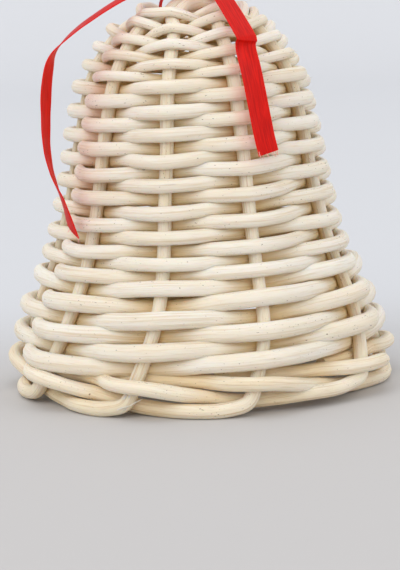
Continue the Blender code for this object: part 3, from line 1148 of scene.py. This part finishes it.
@dataclass
class Strip:
    """A stretch of flat ribbon along a curve.

    Args:
        points: Points of its centre line.
        acrosses: Direction of its width at each point.
        widths: Width at each point, as a share of the ribbon's.
        seed: Number that sets its irregularities.
        curl: How far its edges curl, as a share of half its width.
        curl_middle: Share of the curl by which the middle lies the other way.
        curl_change: How much the curl varies, as a share.
        curl_mm: Length over which it varies.
        slant: How far one edge runs on beyond the other at the cut end.
        slant_reach: Length before the end over which the slant sets in.
        width: Width of the ribbon.
        thickness: Thickness of the ribbon.
        lanes: Number of faces across it.
        step: Distance between rows of faces.
        twist: How far it twists to and fro, as a share of half its width.
        twist_mm: Length over which it twists.
        apart_mm: Distance in the material's pattern between one seed and the next.
    """

    points: Sequence[Sequence[float]]
    acrosses: Sequence[Sequence[float]]
    widths: Sequence[float]
    seed: int
    curl: float
    curl_middle: float = 0.4
    curl_change: float = 0.6
    curl_mm: float = 11.0
    slant: float = 0.0
    slant_reach: float = 0.006
    width: float = 0.0045
    thickness: float = 0.00028
    lanes: int = 8
    step: float = 0.0006
    twist: float = 0.05
    twist_mm: float = 5.0
    apart_mm: float = 5.0

    def sheet(self) -> MeshPart:
        """Works out the strip's closed mesh.

        Returns:
            Vertices, faces, strip places in millimetres and empty marks, one row each.
        """
        knots = [(*p, *a, w) for p, a, w in zip(self.points, self.acrosses, self.widths)]
        curve = even_spacing(smooth_curve(knots, 12), self.step)
        centres, acrosses, shares = curve[:, :3], curve[:, 3:6], curve[:, 6]
        ways = np.gradient(centres, axis=0)
        ways /= np.linalg.norm(ways, axis=1)[:, None]
        acrosses = acrosses - ways * np.sum(acrosses * ways, axis=1)[:, None]
        acrosses /= np.linalg.norm(acrosses, axis=1)[:, None]
        faces_up = np.cross(acrosses, ways)
        places = np.concatenate([[0.0], np.cumsum(np.linalg.norm(np.diff(centres, axis=0), axis=1))])
        count = len(centres)
        lanes = np.linspace(-1.0, 1.0, self.lanes + 1)
        top = np.empty((count, self.lanes + 1, 3))
        coords = np.empty((count, self.lanes + 1, 3))
        for i in range(count):
            half = self.width / 2 * shares[i]
            along = places[i] / MM
            late = smooth_step(places[-1] - self.slant_reach, places[-1], places[i])
            shift = late * self.slant * lanes
            varied = 1.0 + self.curl_change * drift(along / self.curl_mm, self.seed)
            bow = self.curl * half * (lanes**2 - self.curl_middle) * varied
            bow += self.twist * half * drift(along / self.twist_mm, self.seed + 0.3) * lanes
            top[i] = (
                centres[i]
                + np.outer(lanes * half, acrosses[i])
                + np.outer(bow, faces_up[i])
                + np.outer(shift, ways[i])
            )
            coords[i, :, 0] = lanes * self.width / 2 / MM
            coords[i, :, 1] = along
            coords[i, :, 2] = self.apart_mm * self.seed
        down = faces_up[:, None, :] * self.thickness
        vertices = np.concatenate([(top + down / 2).reshape(-1, 3), (top - down / 2).reshape(-1, 3)])
        places_mm = np.concatenate([coords.reshape(-1, 3)] * 2)
        row = self.lanes + 1
        total = count * row
        faces = []
        for i in range(count - 1):
            for j in range(self.lanes):
                a = i * row + j
                faces.append((a, a + 1, a + row + 1, a + row))
                faces.append((a + total, a + total + row, a + total + row + 1, a + total + 1))
            first, last = i * row, i * row + self.lanes
            faces.append((first, first + row, first + total + row, first + total))
            faces.append((last, last + total, last + total + row, last + row))
        for start, flip in ((0, False), ((count - 1) * row, True)):
            for j in range(self.lanes):
                quad = (start + j, start + j + total, start + j + 1 + total, start + j + 1)
                faces.append(quad[::-1] if flip else quad)
        return vertices, np.array(faces), places_mm, np.zeros_like(vertices)

    def end(self) -> tuple[np.ndarray, np.ndarray, np.ndarray]:
        """Where the strip is cut.

        Returns:
            Place, direction and width direction of the cut end.
        """
        points = [np.array(p) for p in self.points[-2:]]
        way = points[1] - points[0]
        across = np.array(self.acrosses[-1])
        return points[1], way / np.linalg.norm(way), across / np.linalg.norm(across)


def make_piece(
    name: str,
    parts: Sequence[MeshPart],
    material: bpy.types.Material,
    place_name: str,
    nodes: Sequence[str],
) -> bpy.types.Object:
    """Makes one piece of the object from parts of mesh data, and puts it on the frame.

    Args:
        name: Name of the piece.
        parts: Vertices, faces, places and marks of each part.
        material: Its material.
        place_name: Name of the attribute that holds the places.
        nodes: Solids that it stands for.

    Returns:
        The piece.
    """
    start = 0
    vertices, faces, places, marks = [], [], [], []
    for part_vertices, part_faces, part_places, part_marks in parts:
        vertices.append(part_vertices)
        faces.extend((part_faces + start).tolist())
        places.append(part_places)
        marks.append(part_marks)
        start += len(part_vertices)
    data = bpy.data.meshes.new(name)
    data.from_pydata(np.concatenate(vertices).tolist(), [], faces)
    for attribute, values in ((place_name, places), (ROD_MARKS, marks)):
        layer = data.attributes.new(attribute, "FLOAT_VECTOR", "POINT")
        layer.data.foreach_set("vector", np.concatenate(values).astype(np.float32).ravel())
    data.materials.append(material)
    data.shade_smooth()
    data.set_sharp_from_angle(angle=SHARP_ANGLE)
    data.update()
    piece = add_object(name, data)
    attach(piece, "root")
    if nodes:
        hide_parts(*nodes)
    LOG.info("%s: %d faces", name, len(faces))
    return piece


def capped(part: MeshPart, sides: int) -> MeshPart:
    """Closes both ends of a rod's mesh with a fan of quads, two sides of the section to each.

    Args:
        part: The rod's mesh data.
        sides: Number of sides of its section, which is even.

    Returns:
        The mesh data with both ends closed.
    """
    vertices, faces, places, marks = part
    count = len(vertices)
    first = vertices[:sides].mean(axis=0)
    last = vertices[-sides:].mean(axis=0)
    vertices = np.vstack([vertices, first, last])
    places = np.vstack([places, places[:sides].mean(axis=0), places[-sides:].mean(axis=0)])
    marks = np.vstack([marks, marks[:1], marks[-1:]])
    fans = []
    for corner in range(0, sides, 2):
        a, b, c = corner, (corner + 1) % sides, (corner + 2) % sides
        fans.append((count, c, b, a))
        fans.append((count + 1, count - sides + a, count - sides + b, count - sides + c))
    return vertices, np.vstack([faces, np.array(fans)]), places, marks


@dataclass(frozen=True)
class PaintedRedBounce:
    """Painted red reflection: pink painted on the pale core beside the ribbon, where red light would bounce
    off it.

    Args:
        degrees: Angle of its middle.
        spread: Degrees from its middle to where it has faded.
        low: Lowest height that it reaches.
        high: Highest height that it reaches.
        strength: Share of the tint at its middle.
    """

    degrees: float
    spread: float
    low: float
    high: float
    strength: float

    def at(self, vertices: np.ndarray) -> np.ndarray:
        """Tint at each vertex.

        Args:
            vertices: Places, one row each.

        Returns:
            Share of the tint.
        """
        angles = np.arctan2(vertices[:, 1], vertices[:, 0])
        away = (angles - radians(self.degrees) + pi) % tau - pi
        across = np.exp(-((away / radians(self.spread / 2)) ** 2))
        middle, half = (self.low + self.high) / 2, (self.high - self.low) / 2
        along = np.exp(-(((vertices[:, 2] - middle) / half) ** 4))
        return self.strength * across * along


@dataclass(frozen=True)
class SliverSize:
    """Sizes between which split fibres vary.

    Args:
        turn: Largest angle round the section, either way from the side that faces out.
        length: Shortest and longest.
        lift: Least and most that an end stands off.
        radius: Radius where the fibre starts.
        tip: Thickness at its end, as a share of that.
    """

    turn: float
    length: tuple[float, float]
    lift: tuple[float, float]
    radius: float
    tip: float = 0.3


@dataclass(frozen=True)
class Slivers:
    """Thin fibres that have split off the core, most of them at one stake's bend.

    Args:
        to_each: Slivers on each length of weaver.
        fine: Size of these.
        bare_from: Distance outside the stakes' centre lines from which a weaver lies bare.
        at_bend: Slivers at the bend.
        coarse: Size of these.
        bend_place: Place of the bend round the wall, counted in stakes.
        bend_height: Its height.
        bend_rings: Rings to either side of it over which they start.
    """

    to_each: int = 4
    fine: SliverSize = SliverSize(0.9, (0.0025, 0.0055), (0.0002, 0.0007), 0.00007)
    bare_from: float = 0.0016
    at_bend: int = 6
    coarse: SliverSize = SliverSize(0.8, (0.0030, 0.0065), (0.0004, 0.0013), 0.00019)
    bend_place: float = 5.30
    bend_height: float = 0.0045
    bend_rings: int = 3

    @staticmethod
    def sliver(rod: Rod, ring: int, size: SliverSize, chance: random.Random) -> Rod:
        """One fibre that has come off a rod.

        Args:
            rod: The rod.
            ring: Ring that it starts at.
            size: Sizes between which it varies.
            chance: Source of the seeded draws.

        Returns:
            The fibre, thinner to its end.
        """
        turn, length = chance.uniform(-size.turn, size.turn), chance.uniform(*size.length)
        lift = chance.uniform(*size.lift)
        way = rod.route[ring + 1] - rod.route[ring]
        way /= np.linalg.norm(way)
        out = np.array((rod.route[ring][0], rod.route[ring][1], 0.0))
        out -= way * (out @ way)
        out /= np.linalg.norm(out)
        side = out * cos(turn) + np.cross(way, out) * sin(turn)
        start = rod.route[ring] + side * rod.radius
        points = [start + way * length * t + side * lift * t * t for t in SPRIG]
        route = smooth_curve(points, 4)
        shares = np.linspace(1.0, size.tip, len(route))
        return Rod(route, size.radius, np.zeros(len(route)), seed=ring, sides=6, shares=shares)

    def rods(self, stakes: Stakes, bent: Rod, weavers: Sequence[Rod]) -> list[Rod]:
        """All slivers.

        Args:
            stakes: The stakes, which say where the bend is.
            bent: The rod with the sharp bend.
            weavers: The lengths of weaver.

        Returns:
            One thin rod to each sliver.
        """
        chance = random.Random(23)
        slivers = []
        for rod in weavers:
            bare = np.flatnonzero(stakes.profile.outward(rod.route) > self.bare_from)
            for _ in range(self.to_each):
                ring = int(bare[chance.randrange(len(bare) - 1)])
                slivers.append(self.sliver(rod, ring, self.fine, chance))
        bend = stakes.profile.point(stakes.profile.length_at(self.bend_height))
        goal = np.array(polar(bend.x, stakes.angle(self.bend_place), bend.y))
        nearest = int(np.argmin(np.linalg.norm(bent.route - goal, axis=1)))
        for _ in range(self.at_bend):
            ring = nearest + chance.randrange(-self.bend_rings, self.bend_rings)
            slivers.append(self.sliver(bent, ring, self.coarse, chance))
        return slivers


@dataclass
class RattanBell:
    """The woven bell: rods of the frame and lengths of weaver.

    Args:
        profile: Curve of the wall.
        rod_stakes: Solids of the frame's rods, and the stakes that each makes.
        bent_rod: Rod that has split at its bend.
        red_bounces: Places where red light off the ribbon is painted onto the weavers.
        shaded_from: Distance outside the stakes' centre lines at which the painted shade deep in the weave
            starts.
        shaded_to: Distance, negative inside, at which it is full.
        least_shade_below: Height below which the weave gets the least painted shade, because light reaches
            in.
        tinted_above: Height above which it gets the full painted shade.
        least_shade_share: Share of the painted shade that is left below.
    """

    profile: Profile = field(default_factory=Profile)
    rod_stakes: tuple[tuple[str, tuple[int, ...]], ...] = (
        ("stake_rod_ninth", (0,)),
        ("stake_rod_upper_left", (1, 6)),
        ("stake_rod_upper_right", (2, 5)),
        ("stake_rod_lower_front", (3, 8)),
        ("stake_rod_lower_back", (4, 7)),
    )
    bent_rod: str = "stake_rod_upper_right"
    # Painted red reflection on the weavers beside the ribbon's two tails
    red_bounces: tuple[PaintedRedBounce, ...] = (
        PaintedRedBounce(-150.0, 24.0, 0.038, 0.084, 0.42),
        PaintedRedBounce(-68.5, 8.0, 0.054, 0.080, 0.50),
    )
    # Painted shade deep in the weave, weaker near the floor
    shaded_from: float = 0.0012
    shaded_to: float = -0.0018
    least_shade_below: float = 0.006
    tinted_above: float = 0.014
    least_shade_share: float = 0.35

    def marked(self, part: MeshPart, red_bounces: Sequence[PaintedRedBounce]) -> MeshPart:
        """Marks how deep in the weave each vertex lies, for painted shade, and how near the ribbon, for
        painted red reflection.

        Args:
            part: Mesh data of a rod.
            red_bounces: Places where red light off the ribbon is painted onto the rod.

        Returns:
            The same mesh data with its marks filled in.
        """
        vertices, faces, places, marks = part
        # Painted shade: the deeper in the weave, the darker, less so near the floor
        depth = (self.shaded_from - self.profile.outward(vertices)) / (self.shaded_from - self.shaded_to)
        depth = np.clip(depth, 0.0, 1.0)
        above = (vertices[:, 2] - self.least_shade_below) / (self.tinted_above - self.least_shade_below)
        share = self.least_shade_share + (1.0 - self.least_shade_share) * np.clip(above, 0.0, 1.0)
        marks[:, 1] = depth * depth * (3 - 2 * depth) * share
        # Painted red reflection near the ribbon
        for glow in red_bounces:
            marks[:, 2] += glow.at(vertices)
        return vertices, faces, places, marks

    def build(self) -> None:
        """Builds and dresses all its pieces."""
        stakes = Stakes(self.profile)
        stake_finish = PeeledRattan(
            "peeled_rattan_stake", pale="#F0E5D0", warm="#E9DABC", fibre="#C29C68", lines=0.55
        ).make()
        weaver_finish = PeeledRattan("peeled_rattan_weaver").make()
        frame_rods = {name: stakes.rod(numbers) for name, numbers in self.rod_stakes}
        for name, rod in frame_rods.items():
            part = self.marked(capped(rod.mesh_data(), rod.sides), [])
            make_piece(f"{name}_dressed", [part], stake_finish, ROD_PLACE, [name])
        weavers = Weave(stakes).rods()
        for rod, node in weavers:
            part = self.marked(capped(rod.mesh_data(), rod.sides), self.red_bounces)
            make_piece(f"{node}_dressed", [part], weaver_finish, ROD_PLACE, [node])
        slivers = Slivers().rods(stakes, frame_rods[self.bent_rod], [rod for rod, _ in weavers])
        parts = [capped(rod.mesh_data(), rod.sides) for rod in slivers]
        make_piece("split_fibres", parts, weaver_finish, ROD_PLACE, [])


@dataclass(frozen=True)
class TailHang:
    """How one tail hangs.

    Args:
        angle: Angle at which it leaves the knot.
        slant: How far one edge runs on beyond the other at the cut end.
        seed: Number that sets its irregularities.
        places: Drop below the crown, angle in degrees, distance outside the stakes, degrees that its
            width is turned from straight out, and share of its width, for each place.
    """

    angle: float
    slant: float
    seed: int
    places: tuple[tuple[float, float, float, float, float], ...]


@dataclass
class SatinRibbon:
    """The ribbon: bow, knot, turn under the crossing rods and two tails.

    Args:
        profile: Curve of the wall.
        tail_reach: Distance from the axis at which a tail turns down.
        left: How the left tail hangs.
        right: How the right tail hangs.
        knot_base: Height of the knot's underside.
        knot_width: Width of the knot.
        knot_depth: Depth of the knot.
        knot_height: Height of the knot.
        knot_points: Points round the knot.
        knot_seam: Angle of the first of them.
        knot_bulge: How far the knot is out of round, as a share.
        knot_reach: Reach of the turn from the knot's middle, as shares of its depth and its height.
        knot_lift: How far the turn's middle lies above the knot's.
        inner_share: Place in the knot where a strip ends, as a share of its width.
        band_layer: Height in the knot of the turn under the rods.
        tail_layer: Height in the knot of the tails.
        loop_layers: Heights in the knot where a loop leaves and comes back.
        loop_length: Reach of a loop to its side.
        loop_rise: Rise of a loop's underside.
        loop_height: Height of a loop.
        loop_shape: Shares of a loop's length, rise and height at the points between its ends.
        loop_widths: Width at each point of a loop, as a share of the ribbon's.
        loop_turn: How far a loop's width tips over from end to end.
        band_reach: Distance from the axis to the turn's sides.
        band_bottom: Height of the turn under the rods.
        band_width: Width of the turn, as a share of the ribbon's.
        right_band_angle: Angle of the turn's right side.
        left_band_angle: Angle of its left side.
        threads: Loose threads at each cut end.
        thread_root: Length of a thread that still lies in the cloth.
        thread_reach: Shortest and longest that a thread sticks out.
        thread_bend: How far it bends sideways and up, as shares of that.
        thread_radius: Radius of a thread.
    """

    profile: Profile = field(default_factory=Profile)
    tail_reach: float = 0.0140
    left: TailHang = TailHang(
        radians(214),
        0.0016,
        5,
        (
            (0.0045, 214.4, 0.0170, 62.0, 1.0),
            (0.0151, 214.7, 0.0160, 31.0, 1.0),
            (0.0248, 215.2, 0.0145, 37.0, 1.0),
            (0.0330, 216.3, 0.0125, 49.0, 1.0),
            (0.0403, 218.7, 0.0094, 63.0, 0.95),
            (0.0473, 220.7, 0.0063, 75.0, 0.88),
        ),
    )
    right: TailHang = TailHang(
        radians(295),
        -0.0002,
        6,
        (
            (0.0036, 295.4, 0.0106, 84.0, 1.0),
            (0.0090, 295.3, 0.0079, 66.0, 1.0),
            (0.0163, 295.6, 0.0070, 62.0, 1.0),
            (0.0261, 297.0, 0.0068, 60.0, 1.0),
            (0.0308, 298.0, 0.0068, 58.0, 1.0),
        ),
    )
    knot_base: float = 0.08995
    knot_width: float = 0.0056
    knot_depth: float = 0.0050
    knot_height: float = 0.0040
    knot_points: int = 12
    knot_seam: float = radians(100)
    knot_bulge: float = 0.06
    knot_reach: tuple[float, float] = (0.52, 0.54)
    knot_lift: float = 0.0001
    inner_share: float = 0.20
    band_layer: float = 0.0004
    tail_layer: float = 0.0013
    loop_layers: tuple[float, float] = (0.0022, 0.0031)
    loop_length: float = 0.0190
    loop_rise: float = 0.0085
    loop_height: float = 0.0062
    loop_shape: tuple[tuple[float, float, float], ...] = (
        (0.35, 0.10, 0.0),
        (0.72, 0.35, 0.0),
        (0.97, 0.80, 0.0),
        (0.95, 1.0, 0.35),
        (0.72, 1.0, 0.25),
        (0.35, 0.62, 0.0),
    )
    loop_widths: tuple[float, ...] = (0.55, 0.85, 1.0, 1.0, 1.0, 1.0, 0.85, 0.55)
    loop_turn: float = 0.10
    band_reach: float = 0.0071
    band_bottom: float = 0.0829
    band_width: float = 0.53
    right_band_angle: float = radians(356)
    left_band_angle: float = radians(196)
    threads: int = 9
    thread_root: float = 0.0006
    thread_reach: tuple[float, float] = (0.0007, 0.0016)
    thread_bend: tuple[float, float] = (0.4, 0.5)
    thread_radius: float = 0.00007

    def loop(self, side: int) -> Strip:
        """One loop of the bow, gathered where it enters the knot.

        Args:
            side: -1 for the left loop and 1 for the right one.

        Returns:
            The strip.
        """
        inner = self.inner_share * self.knot_width
        base, back = (self.knot_base + layer for layer in self.loop_layers)
        outline = [
            (length * self.loop_length, base + rise * self.loop_rise + height * self.loop_height)
            for length, rise, height in self.loop_shape
        ]
        points = [(side * x, 0.0, z) for x, z in [(inner, base), *outline, (inner, back)]]
        turns = np.linspace(-self.loop_turn, self.loop_turn, len(points))
        acrosses = [(0.0, 1.0, side * turn) for turn in turns]
        return Strip(points, acrosses, self.loop_widths, seed=3 + side, curl=0.12)

    def band(self) -> Strip:
        """The turn under the crossing rods, folded narrow.

        Returns:
            The strip.
        """
        layer = self.knot_base + self.band_layer
        half = [
            (self.inner_share * self.knot_width, layer),
            (0.78 * self.band_reach, layer),
            (self.band_reach, self.knot_base - 0.0015),
            (self.band_reach, self.band_bottom + 0.0030),
            (0.75 * self.band_reach, self.band_bottom + 0.0004),
            (0.25 * self.band_reach, self.band_bottom),
        ]
        points = [polar(reach, self.right_band_angle, z) for reach, z in half]
        points += [polar(reach, self.left_band_angle, z) for reach, z in half[::-1]]
        across = Vector((0.0, 0.0, 1.0)).cross(points[0] - points[-1]).normalized()
        count = len(points)
        return Strip(points, [across] * count, [self.band_width] * count, seed=9, curl=0.25)

    def tail(self, hang: TailHang) -> Strip:
        """One tail: level out of the knot, then down beside the wall.

        Args:
            hang: How it hangs.

        Returns:
            The strip.
        """
        layer = self.knot_base + self.tail_layer
        points = [
            polar(self.inner_share * self.knot_width, hang.angle, layer),
            polar(self.tail_reach, hang.angle, layer),
        ]
        for drop, degrees, distance, _, _ in hang.places:
            height = self.profile.crown_height - drop
            wall = self.profile.point(self.profile.length_at(height)).x
            points.append(polar(wall + distance, radians(degrees), height))
        turns = [90.0, 88.0, *(place[3] for place in hang.places)]
        widths = [0.6, 1.0, *(place[4] for place in hang.places)]
        acrosses = [self.turned(point.x, point.y, turn) for point, turn in zip(points, turns)]
        return Strip(points, acrosses, widths, seed=hang.seed, curl=0.07, slant=hang.slant)

    @staticmethod
    def turned(x: float, y: float, degrees: float) -> Vector:
        """Level direction across a tail: 90 degrees lies along the wall and 0 points straight out."""
        angle = atan2(y, x) + radians(degrees)
        return Vector((cos(angle), sin(angle), 0.0))

    def knot(self) -> Strip:
        """The ribbon's turn round the middle of the bow.

        Returns:
            The strip.
        """
        middle = self.knot_base + self.knot_height / 2
        deep, tall = self.knot_reach
        points = []
        count = self.knot_points + 1
        for step in range(count):
            angle = tau * step / self.knot_points + self.knot_seam
            bulge = 1.0 + self.knot_bulge * sin(3 * angle)
            forward = deep * self.knot_depth * bulge * cos(angle)
            height = middle + tall * self.knot_height * sin(angle) + self.knot_lift
            points.append((0.0, forward, height))
        return Strip(points, [(1.0, 0.0, 0.0)] * count, [0.98] * count, seed=8, curl=-0.22)

    def frays(self, strips: Sequence[Strip]) -> list[Rod]:
        """Loose threads at the cut ends.

        Args:
            strips: Strips whose last point is a cut end.

        Returns:
            One thin rod to each thread.
        """
        chance = random.Random(17)
        sideways, upward = self.thread_bend
        rods = []
        for strip in strips:
            end, way, across = strip.end()
            up = np.cross(across, way)
            for thread in range(self.threads):
                lane = -1.0 + 2.0 * (thread + 0.5) / self.threads
                half = strip.width / 2 * strip.widths[-1]
                start = end + across * lane * half + way * (lane * strip.slant - self.thread_root)
                reach = chance.uniform(*self.thread_reach)
                bend = across * chance.uniform(-sideways, sideways) + up * chance.uniform(-upward, upward)
                points = [start + way * reach * t + bend * reach * t * t for t in SPRIG]
                route = smooth_curve(points, 3)
                tones = np.zeros(len(route))
                rods.append(Rod(route, self.thread_radius, tones, seed=300 + thread, sides=6))
        return rods

    def build(self) -> None:
        """Builds and dresses the ribbon."""
        satin = RedSatin("red_satin").make()
        tails = [self.tail(self.left), self.tail(self.right)]
        strips = [self.loop(-1), self.loop(1), self.band(), self.knot(), *tails]
        parts = [strip.sheet() for strip in strips]
        make_piece("ribbon_bow_dressed", parts, satin, STRIP_PLACE, ["ribbon_bow"])
        threads = [capped(rod.mesh_data(), rod.sides) for rod in self.frays(tails)]
        finish = DyedThread("dyed_thread").make()
        make_piece("ribbon_frays", threads, finish, ROD_PLACE, [])


@dataclass(frozen=True)
class Softbox:
    """A far, broad and soft light.

    Args:
        name: Name of the light.
        place: Where it stands, which gives its direction.
        breadth: Angle that it fills, seen from the bell.
        power: Its strength.
    """

    name: str
    place: tuple[float, float, float]
    breadth: float
    power: float

    def build(self) -> None:
        """Adds the light, turned to the bell."""
        data = bpy.data.lights.new(self.name, "SUN")
        data.angle = self.breadth
        data.energy = self.power
        lamp = add_object(self.name, data)
        lamp.location = self.place
        lamp.rotation_mode = "QUATERNION"
        lamp.rotation_quaternion = (-Vector(self.place)).to_track_quat("-Z", "Y")


@dataclass
class Studio:
    """Floor, light and camera.

    Args:
        distance: Distance from the camera to the point that it looks at.
        elevation: Angle at which it looks down.
        roll: Angle by which the photograph is turned.
        aim_height: Height on the bell's axis of the point that it looks at.
        sweep_front: Place of the paper's front edge.
        sweep_start: Place behind the bell where the paper begins to rise.
        sweep_radius: Radius of its rise.
        sweep_top: Height of its top edge.
        sweep_reach: Half its width.
        lights: The lights.
        air: Colour of the light from all round.
        air_strength: Its strength.
        gamma: Gamma of the picture.
    """

    distance: float = 0.500
    elevation: float = radians(8.8)
    roll: float = radians(1.9)
    aim_height: float = 0.0227
    sweep_front: float = -1.6
    sweep_start: float = 1.10
    sweep_radius: float = 0.50
    sweep_top: float = 2.2
    sweep_reach: float = 3.0
    lights: tuple[Softbox, ...] = (
        Softbox("key_softbox", (-0.45, -0.70, 0.60), radians(50), 1.00),
        Softbox("fill_softbox", (0.80, -0.60, 0.35), radians(60), 0.54),
        Softbox("top_softbox", (-0.15, 0.20, 0.95), radians(60), 0.50),
    )
    air: str = "#F2F4F8"
    air_strength: float = 0.86
    gamma: float = 1.12

    def camera(self) -> None:
        """Camera at the photograph's viewing angle."""
        data = bpy.data.cameras.new("camera")
        data.sensor_width = SENSOR_MM
        focal_px = PIXELS_PER_MM * self.distance / MM
        data.lens = SENSOR_MM * focal_px / PHOTO_HEIGHT_PX
        data.clip_start = 0.01
        data.clip_end = 20.0
        camera = add_object("camera", data)
        back = Vector((0.0, -cos(self.elevation), sin(self.elevation)))
        aim = Vector((0.0, 0.0, self.aim_height))
        look = (-back).to_track_quat("-Z", "Y").to_matrix().to_4x4()
        camera.matrix_world = (
            Matrix.Translation(aim + back * self.distance) @ look @ Matrix.Rotation(-self.roll, 4, "Z")
        )
        bpy.context.scene.camera = camera

    def sweep(self) -> None:
        """Paper sweep: a floor that rises into a backdrop."""
        section = [(self.sweep_front, 0.0), (self.sweep_start, 0.0)]
        for angle in np.linspace(0.0, pi / 2, 13)[1:]:
            across = self.sweep_start + self.sweep_radius * sin(angle)
            section.append((across, self.sweep_radius * (1 - cos(angle))))
        section.append((self.sweep_start + self.sweep_radius, self.sweep_top))
        vertices = [(x, y, z) for y, z in section for x in (-self.sweep_reach, self.sweep_reach)]
        faces = [(2 * i, 2 * i + 1, 2 * i + 3, 2 * i + 2) for i in range(len(section) - 1)]
        data = bpy.data.meshes.new("paper_sweep")
        data.from_pydata(vertices, [], faces)
        data.shade_smooth()
        data.materials.append(SeamlessPaper("seamless_paper").make())
        sweep = add_object("paper_sweep", data)

    def build(self) -> None:
        """Sets up the studio."""
        self.camera()
        self.sweep()
        for light in self.lights:
            light.build()
        world = bpy.data.worlds.new("studio_air")
        world.use_nodes = True
        background = world.node_tree.nodes["Background"]
        background.inputs["Color"].default_value = linear(self.air)
        background.inputs["Strength"].default_value = self.air_strength
        bpy.context.scene.world = world
        bpy.context.scene.view_settings.view_transform = "Standard"
        # The photograph's tone curve is flat, so its crevices stay light
        bpy.context.scene.view_settings.gamma = self.gamma


def main() -> None:
    """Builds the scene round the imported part."""
    logging.basicConfig(level=logging.INFO, format="%(name)s: %(message)s")
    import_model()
    Studio().build()
    RattanBell().build()
    SatinRibbon().build()
    bpy.context.view_layer.update()


if __name__ == "__main__":
    main()
